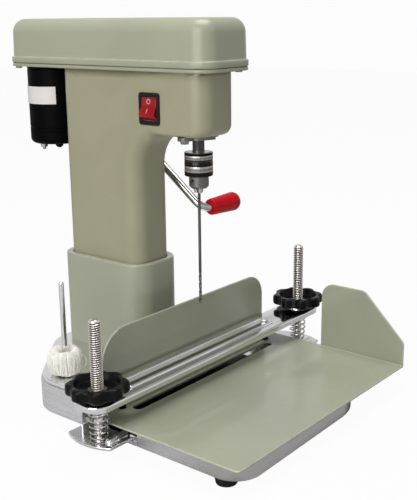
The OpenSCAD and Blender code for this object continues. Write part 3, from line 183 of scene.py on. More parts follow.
def clipped(circles, low, high, edge=1.5):
    """The band round circles, cut to low <= y <= high, with corners of radius edge where it is cut."""
    points, out = stretched_band(circles, 720)
    loop = np.vstack([points - edge * out, points[:1] - edge * out[:1]])
    length = np.concatenate([[0], np.cumsum(np.linalg.norm(np.diff(loop, axis=0), axis=1))])
    at = np.linspace(0, length[-1], 6000)
    fine = np.column_stack([np.interp(at, length, loop[:, axis]) for axis in (0, 1)])
    keep = fine[(fine[:, 1] >= low + edge) & (fine[:, 1] <= high - edge)]
    return stretched_band(np.column_stack([keep, np.full(len(keep), edge)]), 360)


def spaced(points, out, spacing):
    """Add points along each side, evenly and at most spacing apart, with directions that turn evenly too."""
    follow = np.roll(points, -1, axis=0)
    pieces = np.maximum(np.ceil(np.linalg.norm(follow - points, axis=1) / spacing), 1).astype(int)
    at = np.repeat(np.arange(len(points)), pieces)
    share = (np.arange(len(at)) - np.repeat(np.cumsum(pieces) - pieces, pieces)) / pieces[at]
    between = points[at] + share[:, None] * (follow - points)[at]
    return between, unit(out[at] + share[:, None] * (np.roll(out, -1, axis=0) - out)[at])


def rounded(corners, radii, steps=8):
    """Swap each corner for an arc, which starts radius / tan(half angle) before it."""
    corners = np.asarray(corners, float)
    back = unit(np.roll(corners, 1, axis=0) - corners)
    ahead = unit(np.roll(corners, -1, axis=0) - corners)
    radius = np.maximum(np.broadcast_to(np.asarray(radii, float), len(corners)), 1e-3)
    half = np.arccos(np.clip((back * ahead).sum(axis=1), -1, 1)) / 2
    start = corners + back * (radius / np.tan(half))[:, None]
    normal_in = np.column_stack([-back[:, 1], back[:, 0]])
    normal_out = np.column_stack([ahead[:, 1], -ahead[:, 0]])
    cross = normal_in[:, 0] * normal_out[:, 1] - normal_in[:, 1] * normal_out[:, 0]
    signed = np.where(cross >= 0, 1.0, -1.0) * radius
    centre = start - signed[:, None] * normal_in
    turn = np.arctan2(cross, (normal_in * normal_out).sum(axis=1))
    first = np.arctan2(normal_in[:, 1], normal_in[:, 0])
    out = compass(first[:, None] + turn[:, None] * np.linspace(0, 1, steps + 1))
    points = centre[:, None] + signed[:, None, None] * out
    return points.reshape(-1, 2), out.reshape(-1, 2)


def rectangle(low, high):
    """The four corners between a low and a high one."""
    return [[low[0], low[1]], [high[0], low[1]], [high[0], high[1]], [low[0], high[1]]]


def box_outline(low, high, r_front, r_rear, steps=10):
    """Rounded rectangle with one radius at its two front corners and another at its two rear ones."""
    return rounded(rectangle(low, high), [r_front, r_front, r_rear, r_rear], steps)


# %% [markdown]
# ## Lofts and turned shapes
# A loft carries a section of (outset, height) pairs round an outline. A turned part is the same thing with
# a single point as its outline. A spring's wire or a thread is a circle carried along a path.


# %% Loft, turning and tube helpers
AXES = {"xy": (0, 1, 2), "xz": (0, 2, 1), "yz": (2, 0, 1)}


def loft(outline, rows, plane="xy"):
    """Point = outline + outset * outward direction, at the row's height; plane names its axes."""
    flat, out = outline
    rows = np.asarray(rows, float)
    at = flat[None] + rows[:, 0, None, None] * out[None]
    height = np.broadcast_to(rows[:, 1, None, None], at.shape[:2] + (1,))
    return np.concatenate([at, height], axis=-1)[..., AXES[plane]]


def arc(outset, height, radius, start, stop, steps=4):
    """Points (outset + radius cos a, height + radius sin a) for a from start to stop degrees."""
    return [outset, height] + radius * compass(np.radians(np.linspace(start, stop, steps + 1)))


def slab_rows(low, high, edge):
    """Section of a flat slab: up its side, with both edges rounded by a quarter circle."""
    return np.vstack([arc(-edge, low + edge, edge, -90, 0), arc(-edge, high - edge, edge, 0, 90)])


def edge_weight(rows, high, reach=1.2):
    """How near each row is to an edge at the height high: 1 on it, falling to 0 over reach millimetres."""
    return np.clip(1 - np.abs(np.asarray(rows)[:, 1] - high) / reach, 0, 1)


def slab(outline, low, high, edge, plane="xy"):
    """A closed slab with rounded edges; a row inside each edge keeps the edge weight off the flat faces."""
    rows = slab_rows(low, high, edge)
    rim = np.maximum(edge_weight(rows, high), edge_weight(rows, low))
    inside = -edge - 0.4
    rows = np.vstack([[[inside, low]], rows, [[inside, high]]])
    return patch(loft(outline, rows, plane), caps=True, rim=np.concatenate([[0], rim, [0]]))


def point_outline(x, y, count=48):
    """A single point with directions all round it, so that a loft of it is a turned shape."""
    return np.tile([x, y], (count, 1)).astype(float), compass(full_turn(count))


def turned(x, y, rows, count=48):
    """A closed section of (radius, height) rows, turned about the upright line through x and y."""
    return patch(loft(point_outline(x, y, count), rows), wrap_u=True)


def tube(path, across, radius, sides=10):
    """Circle round each path point, in the plane of the direction across and of tangent x across."""
    along = unit(np.gradient(path, axis=0))
    first = unit(across - (across * along).sum(axis=1, keepdims=True) * along)
    second = np.cross(along, first)
    turn = full_turn(sides)[None, :, None]
    return path[:, None] + radius * (np.cos(turn) * first[:, None] + np.sin(turn) * second[:, None])


# %% [markdown]
# ## Finishes, and the effects that they share
# Sprayed paint, cast metal, chrome and moulded plastic differ in a few things: how the colour drifts over a
# hand's width, how the surface ripples under a millimetre, how handling marks and dust change the gloss.
# Each effect is a node group, made once, and each finish places the groups it needs with its own values.


# %% Node helpers
def node(tree, kind, options=None, **sockets):
    """Add a node, set its options, then link or fill its sockets.

    A socket is named with underscores for spaces, or by its number, as n0. A colour is three numbers.
    """
    made = tree.nodes.new("ShaderNode" + kind)
    for key, value in (options or {}).items():
        setattr(made, key, value)
    for key, value in sockets.items():
        socket = made.inputs[int(key[1:]) if key[1:].isdigit() else key.replace("_", " ")]
        if isinstance(value, bpy.types.NodeSocket):
            tree.links.new(value, socket)
        else:
            socket.default_value = (*value, 1) if socket.type == "RGBA" else value
    return made


def maths(tree, operation, first, second):
    """One Math node's result."""
    return node(tree, "Math", {"operation": operation}, n0=first, n1=second).outputs[0]


def added(tree, value, more, share):
    """value + more * share."""
    return maths(tree, "ADD", value, maths(tree, "MULTIPLY", more, share))


def mixed(tree, share, first, second, how="MIX"):
    """Two colours mixed by a share."""
    options = {"data_type": "RGBA", "blend_type": how}
    return node(tree, "Mix", options, n0=share, n6=first, n7=second).outputs[2]


def spread(tree, value, low, high, to_low=0.0, to_high=1.0):
    """Stretch the part of a value between low and high over to_low to to_high."""
    return node(tree, "MapRange", {"interpolation_type": "SMOOTHSTEP"}, n0=value, n1=low, n2=high,
                n3=to_low, n4=to_high).outputs[0]


def cloud(tree, place, scale, detail=2.0, roughness=0.5):
    """A noise texture's grey value."""
    return node(tree, "TexNoise", Vector=place, Scale=scale, Detail=detail,
                Roughness=roughness).outputs[0]


def axis_value(tree, vector, axis):
    """One of a vector's three numbers."""
    return node(tree, "SeparateXYZ", n0=vector).outputs[axis]


def effect(name, inputs, outputs):
    """An empty node group that is given a place; 1, 3 or 4 numbers make a value, vector or colour socket."""
    kinds = {1: "NodeSocketFloat", 3: "NodeSocketVector", 4: "NodeSocketColor"}
    tree = bpy.data.node_groups.new(name, "ShaderNodeTree")
    for label, value in {"Place": (0.0, 0.0, 0.0), **inputs}.items():
        size = len(value) if isinstance(value, tuple) else 1
        tree.interface.new_socket(label, in_out="INPUT", socket_type=kinds[size]).default_value = value
    for label, size in outputs.items():
        tree.interface.new_socket(label, in_out="OUTPUT", socket_type=kinds[size])
    return tree, tree.nodes.new("NodeGroupInput").outputs, tree.nodes.new("NodeGroupOutput").inputs


# %% [markdown]
# ## Four shared effects
# A sprayed film drifts in colour over a hand's width and ripples like orange peel; its sharp rims are painted
# paler, partly for thin paint and partly as a painted highlight.
# Handling leaves fine scratches and smears. Machining leaves a grain that is stretched one way. Dust
# settles on what faces up.

# %% Sprayed film
film, given, result = effect("sprayed_film", {"Colour": (0.5, 0.5, 0.5, 1.0), "Rim": 0.0},
                             {"Colour": 4, "Roughness": 1, "Height": 1})
drift = cloud(film, given["Place"], 11.0, 3.0)
peel = cloud(film, given["Place"], 620.0, 1.0)
fleck = cloud(film, given["Place"], 170.0, 2.0)
darker = mixed(film, 1.0, given["Colour"], (0.96, 0.96, 0.95), "MULTIPLY")
lighter = mixed(film, 1.0, given["Colour"], (1.03, 1.03, 1.02), "MULTIPLY")
tint = mixed(film, spread(film, drift, 0.35, 0.65), darker, lighter)
pale = mixed(film, 1.0, given["Colour"], (1.22, 1.22, 1.2), "MULTIPLY")
tint = mixed(film, spread(film, fleck, 0.62, 0.8, 0.0, 0.3), tint, pale)
# Rims are mixed to a paler colour: partly thin paint, partly a painted highlight on the edges.
thin_paint_and_highlight = maths(film, "MULTIPLY", given["Rim"], spread(film, fleck, 0.3, 0.6, 0.25, 0.6))
film.links.new(mixed(film, thin_paint_and_highlight, tint, (0.62, 0.61, 0.53)), result["Colour"])
dulled = spread(film, drift, 0.3, 0.7, 0.27, 0.36)
film.links.new(added(film, dulled, peel, 0.06), result["Roughness"])
film.links.new(peel, result["Height"])
print("film has", len(film.nodes), "nodes")

# %% Handling marks, machined grain and dust
rubs, given, result = effect("handling_marks", {"Amount": 0.5}, {"Mask": 1, "Smear": 1})
stretched = node(rubs, "Mapping", Vector=given["Place"], Scale=(40.0, 9.0, 220.0),
                 Rotation=(0.3, 0.5, 0.7)).outputs[0]
scratch = spread(rubs, cloud(rubs, stretched, 6.0, 3.0), 0.62, 0.74)
hands = spread(rubs, cloud(rubs, given["Place"], 26.0, 4.0), 0.45, 0.75)
scuffed = maths(rubs, "MULTIPLY", scratch, hands)
rubs.links.new(maths(rubs, "MULTIPLY", scuffed, given["Amount"]), result["Mask"])
rubs.links.new(maths(rubs, "MULTIPLY", hands, given["Amount"]), result["Smear"])

grain, given, result = effect("machined_grain", {"Stretch": (1.0, 1.0, 1.0)}, {"Tone": 1, "Height": 1})
scaled = node(grain, "VectorMath", {"operation": "MULTIPLY"}, n0=given["Place"],
              n1=given["Stretch"]).outputs[0]
lines = cloud(grain, scaled, 1.0, 4.0, 0.6)
grain.links.new(spread(grain, lines, 0.3, 0.7), result["Tone"])
grain.links.new(lines, result["Height"])

dust, given, result = effect("settled_dust", {"Amount": 0.2}, {"Mask": 1})
upwards = axis_value(dust, node(dust, "NewGeometry").outputs["Normal"], 2)
specks = spread(dust, cloud(dust, given["Place"], 70.0, 5.0), 0.4, 0.8)
lying = maths(dust, "MULTIPLY", spread(dust, upwards, 0.5, 1.0), specks)
dust.links.new(maths(dust, "MULTIPLY", lying, given["Amount"]), result["Mask"])
print("effects:", [group.name for group in bpy.data.node_groups])

# %% [markdown]
# ## One finish at a time
# A finish starts as a Principled shader with the numbers that stay the same all over it. What varies, such
# as colour, gloss and bump, comes from the groups, read at Object coordinates so that nothing slides on the
# piece. Three kinds of finish cover most of the machine: paint, bare metal and moulded plastic.

# %% Finish helpers
finishes = {}


def start_finish(name, **fixed):
    """A new material: its shader with fixed values, and the Object coordinates that its effects read."""
    material = bpy.data.materials.new(name)
    material.use_nodes = True
    tree = material.node_tree
    shader = tree.nodes["Principled BSDF"]
    for key, value in fixed.items():
        shader.inputs[key.replace("_", " ")].default_value = value
    place = tree.nodes.new("ShaderNodeTexCoord").outputs["Object"]
    finishes[name] = material
    return tree, shader, place


def use(tree, group, **sockets):
    """Place a shared effect in a material and return its outputs."""
    return node(tree, "Group", {"node_tree": group}, **sockets).outputs


def bump(tree, shader, height, strength, distance):
    """Tilt the shader's normal by a height."""
    made = node(tree, "Bump", Strength=strength, Distance=distance, Height=height)
    tree.links.new(made.outputs[0], shader.inputs["Normal"])


def dress(tree, shader, colour, roughness, height, ripple, depth=0.0003):
    """Link a colour and a roughness to the shader, and ripple it by a height."""
    tree.links.new(colour, shader.inputs["Base Color"])
    tree.links.new(roughness, shader.inputs["Roughness"])
    bump(tree, shader, height, ripple, depth)


def rim_value(tree):
    """The piece's own edge weight, nought on a piece that has none."""
    return node(tree, "Attribute", {"attribute_name": "rim"}).outputs["Fac"]


def painted(name, colour, marks=0.16, dirt=0.06, ripple=0.06, **fixed):
    """Sprayed paint: film, rubbed marks and a little dust, in one colour."""
    tree, shader, place = start_finish(name, **fixed)
    coat = use(tree, film, Place=place, Colour=colour, Rim=rim_value(tree))
    worn = use(tree, rubs, Place=place, Amount=marks)
    lying = use(tree, dust, Place=place, Amount=dirt)
    shade = mixed(tree, worn["Mask"], coat["Colour"], (0.52, 0.52, 0.47))
    shade = mixed(tree, lying["Mask"], shade, (0.6, 0.58, 0.52))
    gloss = added(tree, coat["Roughness"], worn["Smear"], 0.12)
    dress(tree, shader, shade, added(tree, gloss, lying["Mask"], 0.3), coat["Height"], ripple, 0.0004)


def metal(name, colour, dull, stretch, gloss, marks=0.4, ripple=0.03, painted_shade=None):
    """Bare metal: grain stretched along the way it was worked, roughness between two values, and hand marks.

    The last argument gives two places along Y in metres: the metal is painted grey as shade before the first
    and keeps its own colour behind the second.
    """
    tree, shader, place = start_finish(name, Metallic=1.0)
    worked = use(tree, grain, Place=place, Stretch=stretch)
    worn = use(tree, rubs, Place=place, Amount=marks)
    shade = mixed(tree, worked["Tone"], dull, colour)
    shade = mixed(tree, worn["Smear"], shade, dull)
    if painted_shade:
        # Painted shade: the colour goes grey towards the front, for the shade under the table.
        share = spread(tree, axis_value(tree, place, 1), painted_shade[0], painted_shade[1], 1.0, 0.0)
        shade = mixed(tree, share, shade, (0.42, 0.415, 0.415))
    rough = spread(tree, worked["Tone"], 0.0, 1.0, gloss[1], gloss[0])
    dress(tree, shader, shade, added(tree, rough, worn["Smear"], 0.15), worked["Height"], ripple)
    return tree, shader, place


def moulded(name, colour, pale, gloss, texture, ripple, marks=0.3, dirt=0.1, **fixed):
    """Moulded plastic or rubber: one colour that pales where it is handled, over a fine moulded texture."""
    tree, shader, place = start_finish(name, **fixed)
    pores = cloud(tree, place, texture, 2.0)
    worn = use(tree, rubs, Place=place, Amount=marks)
    lying = use(tree, dust, Place=place, Amount=dirt)
    shade = mixed(tree, added(tree, worn["Mask"], rim_value(tree), 0.35), colour, pale)
    shade = mixed(tree, lying["Mask"], shade, (0.5, 0.49, 0.46))
    rough = spread(tree, pores, 0.3, 0.7, *gloss)
    dress(tree, shader, shade, added(tree, rough, worn["Smear"], 0.1), pores, ripple)


def banded(name, stretch, high_tones, low_tones, edge, gloss, ripple):
    """Turned metal of two looks, by the rim weight: high tones above the edge, low ones below."""
    tree, shader, place = start_finish(name, Metallic=1.0)
    worked = use(tree, grain, Place=place, Stretch=stretch)
    high = mixed(tree, worked["Tone"], *high_tones)
    low = mixed(tree, worked["Tone"], *low_tones)
    shade = mixed(tree, spread(tree, rim_value(tree), *edge), low, high)
    rough = spread(tree, worked["Tone"], 0.0, 1.0, gloss[1], gloss[0])
    dress(tree, shader, shade, rough, worked["Height"], ripple)


# %% [markdown]
# ## Paints
# One sage green covers the machine, and yet it looks different on a rough casting, a flat sheet and a
# pressed lid: the gloss of the clear top coat does that, and the casting's green differs a little. The
# sheet's green is a lighter copy of the same paint, painted light for the light that the table throws back.
# The motor is a deep black.

# %% Paints
painted("sage_paint", (0.335, 0.350, 0.258), Coat_Weight=0.10, Coat_Roughness=0.22)
painted("sage_casting", (0.342, 0.330, 0.226), ripple=0.07, Coat_Weight=0.08, Coat_Roughness=0.25)
# A lighter copy of the same paint: painted light for the light that the table throws back.
painted("sage_sheet_painted_light", (0.348, 0.368, 0.280), Coat_Weight=0.45, Coat_Roughness=0.10)
painted("black_paint", (0.0025, 0.0025, 0.0027), marks=0.0, dirt=0.0, ripple=0.04, Specular_IOR_Level=0.03)
print("paints:", list(finishes))

# %% [markdown]
# ## Metals
# A metal's colour is its reflection, so the metals differ in brightness, in how far apart their two
# roughness values are, and in the way that their grain is stretched. The base's colour is painted darker
# towards its front, as painted shade under the table.

# %% Metals
GROUND = {"colour": (0.74, 0.74, 0.76), "dull": (0.66, 0.66, 0.69), "stretch": (14.0, 14.0, 420.0),
          "gloss": (0.22, 0.31)}
metal("satin_aluminium", **GROUND)
# The base's copy is painted grey towards its front as painted shade.
metal("base_aluminium", **GROUND, painted_shade=(-0.19, -0.05))
metal("polished_aluminium", (0.90, 0.90, 0.90), (0.82, 0.82, 0.82), (30.0, 30.0, 30.0), (0.04, 0.09),
      marks=0.25, ripple=0.01)
metal("chrome", (0.80, 0.80, 0.81), (0.70, 0.70, 0.71), (9.0, 160.0, 160.0), (0.05, 0.12), marks=0.35,
      ripple=0.02)
metal("plated_rod", (0.60, 0.60, 0.59), (0.44, 0.44, 0.43), (160.0, 160.0, 160.0), (0.06, 0.14),
      marks=0.35)
metal("steel", (0.58, 0.56, 0.55), (0.44, 0.43, 0.42), (60.0, 60.0, 700.0), (0.20, 0.32), ripple=0.05)
metal("dark_steel", (0.26, 0.25, 0.24), (0.17, 0.16, 0.16), (300.0, 300.0, 40.0), (0.25, 0.38),
      ripple=0.08)
metal("drill_steel", (0.16, 0.155, 0.15), (0.10, 0.095, 0.09), (300.0, 300.0, 40.0), (0.16, 0.26),
      ripple=0.06)
metal("brass", (0.72, 0.54, 0.27), (0.55, 0.40, 0.20), (50.0, 50.0, 600.0), (0.22, 0.36), ripple=0.08)
print("paints and metals:", len(finishes))

# %% [markdown]
# ## Plastics and rubber
# Mouldings have one colour all through. A fine texture from the mould breaks up their gloss, and a low
# specular level keeps black parts black under a white studio.

# %% Plastics and rubber
moulded("plate", (0.76, 0.74, 0.735), (0.66, 0.63, 0.62), (0.34, 0.46), 300.0, 0.05, marks=0.5,
        Specular_IOR_Level=0.4)
moulded("black_plastic", (0.004, 0.004, 0.005), (0.015, 0.015, 0.015), (0.20, 0.32), 900.0, 0.10,
        dirt=0.005, Specular_IOR_Level=0.11)
moulded("matte_black", (0.008, 0.008, 0.009), (0.03, 0.03, 0.03), (0.5, 0.62), 1100.0, 0.2, dirt=0.02,
        Specular_IOR_Level=0.2)
moulded("rubber", (0.010, 0.010, 0.010), (0.04, 0.04, 0.038), (0.62, 0.78), 800.0, 0.3, dirt=0.03,
        Specular_IOR_Level=0.25)
moulded("red_plastic", (0.57, 0.003, 0.008), (0.62, 0.03, 0.03), (0.28, 0.40), 500.0, 0.08, marks=0.2,
        dirt=0.02, Specular_IOR_Level=0.14)
moulded("red_lens", (0.30, 0.003, 0.009), (0.34, 0.01, 0.02), (0.09, 0.15), 400.0, 0.02, marks=0.1,
        dirt=0.01, Specular_IOR_Level=0.2)
moulded("white_ink", (0.56, 0.40, 0.40), (0.5, 0.34, 0.34), (0.45, 0.55), 700.0, 0.05)
print("finishes:", sorted(finishes))

# %% [markdown]
# ## Thread
# Sewing thread is spun from fibres, so it has no gloss, its colour wanders a little from strand to strand,
# and a soft edge of loose fibre catches the light. A sheen on the shader gives that edge.

# %% Thread finish
tree, shader, place = start_finish("thread", Roughness=0.85, Sheen_Weight=0.35, Sheen_Roughness=0.5)
strands = cloud(tree, place, 260.0, 3.0)
shade = mixed(tree, spread(tree, strands, 0.3, 0.7), (0.76, 0.75, 0.69), (0.92, 0.915, 0.87))
tree.links.new(shade, shader.inputs["Base Color"])
bump(tree, shader, cloud(tree, place, 2600.0, 1.0), 0.4, 0.0002)
print("thread's roughness:", shader.inputs["Roughness"].default_value)

# %% [markdown]
# ## The rail's own finish
# Chrome at the ends, and painted black over the length that the table hides, as painted shade under the
# table; that is what shows through its slot.

# %% Rail finish
SOFT_EDGE = 0.0002
tree, shader, place = metal("rail_chrome_and_painted_shade", (0.80, 0.80, 0.81), (0.66, 0.66, 0.67), (9.0, 160.0, 160.0),
                            (0.05, 0.12), marks=0.35, ripple=0.02)
shade_from, shade_to = model_metres([span("rail_guides")[0], span("base_casting")[1]])[:, 0]
along = axis_value(tree, place, 0)
# Between the two x places the rail is painted black as painted shade under the table, and is not metal there.
strip = maths(tree, "MULTIPLY", spread(tree, along, shade_from - SOFT_EDGE, shade_from + SOFT_EDGE),
              spread(tree, along, shade_to + SOFT_EDGE, shade_to - SOFT_EDGE))
chromed = shader.inputs["Base Color"].links[0].from_socket
tree.links.new(mixed(tree, strip, chromed, (0.004, 0.004, 0.004)), shader.inputs["Base Color"])
tree.links.new(maths(tree, "SUBTRACT", 1.0, strip), shader.inputs["Metallic"])
shader.inputs["Specular IOR Level"].default_value = 0.02
print("rail is black from", shade_from, "to", shade_to)

# %% [markdown]
# ## Screws and chuck
# The clamp's screws are plated: the crests of the thread have the plating's colour, and the roots are painted
# dark as painted shade. The chuck has black-oxide bands and bright turned ones. Both pairs of looks are told
# apart by the piece's rim weight.

# %% Screw and chuck finishes
# The screws' low tones are painted shade in the thread's roots.
banded("threaded_steel", (260.0, 260.0, 90.0), [(0.72, 0.69, 0.66), (0.86, 0.84, 0.81)],
       [(0.05, 0.045, 0.04), (0.11, 0.10, 0.09)], edge=(0.15, 0.75), gloss=(0.18, 0.30), ripple=0.05)
banded("chuck_bands", (700.0, 700.0, 60.0), [(0.30, 0.275, 0.26), (0.43, 0.395, 0.38)],
       [(0.012, 0.011, 0.011), (0.026, 0.023, 0.022)], edge=(0.4, 0.6), gloss=(0.17, 0.28), ripple=0.08)
print("finishes:", len(finishes))

# %% [markdown]
# ## Finishes on the CAD parts that stay
# Screws, shafts, blocks and bushes already have their real shape, so they keep it and only get a finish.

# %% Dress the CAD parts
KEPT = {
    "sage_paint": ["belt_tray", "cover_screws"],
    "black_paint": ["motor_end_cap", "table_screws"],
    "chrome": ["cap_screws", "clamp_washers", "thread_post"],
    "plated_rod": ["lever_hub", "lever_rod"],
    "steel": ["foot_screws", "rail_guides", "guide_post", "feed_rack", "spring_rod", "table_blocks",
              "motor_bolt", "spindle_bearings", "chuck_jaw_1", "chuck_jaw_2", "chuck_jaw_3",
              "motor_shaft", "feed_pinion"],
    "satin_aluminium": ["spindle_pulley", "motor_pulley"],
    "dark_steel": ["left_knob_insert", "right_knob_insert", "bearing_cap", "chuck_body"],
    "drill_steel": ["spindle_shaft"],
    "brass": ["feed_bushes", "guide_liners"],
    "matte_black": ["cord_gland"],
    "rubber": ["drive_belt"],
    "plate": ["motor_plate"],
    "red_plastic": ["lever_grip"],
}
for finish, names in KEPT.items():
    for name in names:
        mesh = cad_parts[name].data
        mesh.materials.clear()
        mesh.materials.append(finishes[finish])
print("dressed:", sum(len(names) for names in KEPT.values()), "CAD parts")

# %% [markdown]
# ## The base
# The base is an aluminium casting, ground smooth outside and hollow underneath. It is a low deck at the
# front, a deep trough that the rail slides in, and a taller block at the back. A boolean cut would do, but
# three lofts of the same outline, cut at the trough's walls, keep clean rounded edges all round. The
# outline is a band round six circles, each given by its middle and radius.

# %% Base casting and lid
BASE = [[-108, -128, 27], [35, -87, 65], [57, 85, 43], [28.7, 136.7, 45], [-28.7, 136.7, 45], [-92, 85, 43]]
FAR_FRONT, FAR_REAR = -160, 190
WALL, CEILING, BOSS_R = 5, 4, 8
DECK_TOP = 26.7
FOOT_REACH, FOOT_TURN = 49.5, np.radians(-50)
FEET = [[-119.5, -127], BASE[1][:2] + FOOT_REACH * compass(FOOT_TURN), [58.2, 136.7], [-58.2, 136.7]]
UNDERSIDE, BLOCK_TOP = span("base_casting")[:, 2]
(_, TROUGH_FRONT, TROUGH_FLOOR), (_, TROUGH_REAR, _) = span("rail_guides")
(_, LID_FRONT, LID_LOW), (_, _, LID_TOP) = span("base_lid")


def drawn_in(circles, distance):
    """The same circles with smaller radii."""
    return [[x, y, r - distance] for x, y, r in circles]


def hollow_block(low, high, hollow_low, hollow_high, top, edge):
    """One grid: the hollow's ceiling and wall, the foot of the casting, its outside, its rounded top edge."""
    hollow = clipped(drawn_in(BASE, WALL), hollow_low, hollow_high)
    inner_rows = np.vstack([arc(-1.5, top - CEILING - 1.5, 1.5, 90, 0), [[0.0, UNDERSIDE + 0.4]]])
    outer_rows = np.vstack([arc(-0.8, UNDERSIDE + 0.8, 0.8, -90, 0), arc(-edge, top - edge, edge, 0, 90, 6)])
    grid = np.vstack([loft(hollow, inner_rows), loft(clipped(BASE, low, high), outer_rows)])
    return patch(grid, caps=True)


def foot_boss(x, y):
    """A short pillar inside the hollow, over a foot, that ends inside the ceiling."""
    top = DECK_TOP - 3.2 if y < 0 else BLOCK_TOP - 3
    return patch(loft(point_outline(x, y, 32), [[BOSS_R, top], [BOSS_R, UNDERSIDE]]), caps=True)


parts = [hollow_block(FAR_FRONT, TROUGH_FRONT, FAR_FRONT, TROUGH_FRONT - WALL, DECK_TOP, 2.6),
         hollow_block(TROUGH_REAR, FAR_REAR, TROUGH_REAR + WALL, FAR_REAR, BLOCK_TOP, 1.2),
         slab(clipped(BASE, TROUGH_FRONT, TROUGH_REAR, 0.6), UNDERSIDE, TROUGH_FLOOR, 0.5)]
parts += [foot_boss(x, y) for x, y in FEET]
piece("base_body", parts, "base", "base_aluminium", ["base_casting"])
lid = clipped(drawn_in(BASE, 1.5), LID_FRONT, FAR_REAR, 2.0)
piece("base_top", [slab(lid, LID_LOW, LID_TOP, 1.0)], "base", "polished_aluminium", ["base_lid"])

# %% [markdown]
# ## Rubber feet
# Each foot is a moulded cup that narrows towards the bench, with a screw up its middle. It is turned from a
# section that runs down the outside, under the rim, up the screw's well and back.

# %% Feet
foot_rows = np.vstack([[[2.45, UNDERSIDE], [10.6, UNDERSIDE]], arc(10.4, 10.2, 0.6, 90, 0, 3), [[10.95, 6.5]],
                       arc(8.3, 1.7, 1.7, 10, -90, 5), [[6.6, 0.0], [5.5, 0.4], [5.5, 3.9], [2.45, 3.9]]])
piece("bench_feet", [turned(x, y, foot_rows) for x, y in FEET], "base", "rubber", ["rubber_feet"])

# %% [markdown]
# ## The column's sleeve
# A painted box open at the top, which the column slides down into. Its section is a closed loop: up the
# outside, over a rounded rim, down the inside. It follows the column's outline, with a small gap.

# %% Sleeve
HEAD_LOW, HEAD_HIGH = span("head_casting")
HALF_WIDTH, COLUMN_REAR, TOP = HEAD_HIGH
COLUMN_FRONT, COLUMN_CORNER, REAR_R = 62.0, 17.0, 12.0
SLEEVE_TOP = span("column_sleeve")[1][2]
COLUMN = box_outline([-HALF_WIDTH, COLUMN_FRONT], [HALF_WIDTH, COLUMN_REAR], COLUMN_CORNER, REAR_R, 14)
sleeve_rows = np.vstack([[[0.7, LID_TOP], [7.7, LID_TOP]], arc(6.0, SLEEVE_TOP - 1.7, 1.7, 0, 90, 5),
                         arc(1.9, SLEEVE_TOP - 1.2, 1.2, 90, 180, 5)])
rim = edge_weight(sleeve_rows, SLEEVE_TOP, 0.9)
piece("column_socket", [patch(loft(COLUMN, sleeve_rows), wrap_u=True, rim=rim)], "base", "sage_sheet_painted_light",
      ["column_sleeve"])

# %% [markdown]
# ## The head
# Column, throat and arm are one casting, and the eye reads them as one flowing surface. A path runs up the
# column's front, round the throat and along the arm's underside. Across the machine the section is flat
# with rounded corners, and the corner radius changes on the way: wide on the column, small under the arm.
# The nose is a loft of its own: its rounded plan is drawn in towards the bottom by a quarter circle, which
# is wide at the front and small at the sides. The sides are flat, so they are ruled from that edge back to
# the spine, and Solidify gives the whole skin its wall.


# %% Front of the head
def eased(start, stop, count):
    """Values from start to stop that set off and arrive gently: a half wave of a cosine."""
    return start + (stop - start) * (0.5 - 0.5 * np.cos(np.linspace(0, np.pi, count)))


def two_quarters(low, centre, high, count):
    """Angles from low to centre and on to high degrees; centre comes twice, as the ends of a flat stretch."""
    return np.radians(np.concatenate([np.linspace(low, centre, count), np.linspace(centre, high, count)]))


ARM_UNDER = span("bearing_cap")[1][2]
ARM_CORNER, THROAT_R, NOSE_R = 5.0, 38.0, 18.0
NOSE_Y = HEAD_LOW[1] + NOSE_R
THROAT = np.array([COLUMN_FRONT, ARM_UNDER]) - THROAT_R
NOSE_SWEEP = 7.0
COLUMN_ROWS, THROAT_ROWS, UNDER_ROWS, NOSE_ROWS = 13, 18, 8, 12
EASE_ROWS, CORNER_POINTS = 8, 13

throat_out = compass(np.radians(np.linspace(0, 90, THROAT_ROWS + 1))[1:])
column_line = np.linspace([COLUMN_FRONT, HEAD_LOW[2]], [COLUMN_FRONT, THROAT[1]], COLUMN_ROWS)
under_line = np.linspace([THROAT[0], ARM_UNDER], [NOSE_Y, ARM_UNDER], UNDER_ROWS + 1)[1:]
path = np.vstack([column_line, THROAT + THROAT_R * throat_out, under_line])
facing = np.vstack([np.tile([-1.0, 0.0], (COLUMN_ROWS, 1)), -throat_out,
                    np.tile([0.0, -1.0], (UNDER_ROWS, 1))])
corner = np.concatenate([np.full(COLUMN_ROWS + THROAT_ROWS - EASE_ROWS, COLUMN_CORNER),
                         eased(COLUMN_CORNER, ARM_CORNER, EASE_ROWS),
                         np.full(UNDER_ROWS, ARM_CORNER)])[:, None]
round_turn = two_quarters(-90, 0, 90, CORNER_POINTS)
sign = np.repeat([-1.0, 1.0], CORNER_POINTS)
across = sign * (HALF_WIDTH - corner) + corner * np.sin(round_turn)
sunk = path[:, None] - facing[:, None] * (corner * (1 - np.cos(round_turn)))[..., None]
skin = np.concatenate([across[..., None], sunk], axis=-1)

lower_edge = ARM_CORNER + NOSE_SWEEP * np.cos(round_turn) ** 1.2
rise = np.radians(np.linspace(0, 90, 15))[:, None]
straight = np.linspace(0, 1, NOSE_ROWS + 1)[1:, None]
inset = np.vstack([lower_edge * (1 - np.sin(rise)), np.zeros((NOSE_ROWS, len(sign)))])
nose_z = np.vstack([ARM_UNDER + lower_edge * (1 - np.cos(rise)),
                    ARM_UNDER + lower_edge + (TOP - ARM_UNDER - lower_edge) * straight])
nose = grid_of(sign * (HALF_WIDTH - NOSE_R) + (NOSE_R - inset) * np.sin(round_turn),
               NOSE_Y - (NOSE_R - inset) * np.cos(round_turn), nose_z)
tip = np.stack([nose[0], nose[0]])
tip[0, :, 1] = NOSE_Y
print("front of the head:", skin.shape, "nose:", nose.shape)

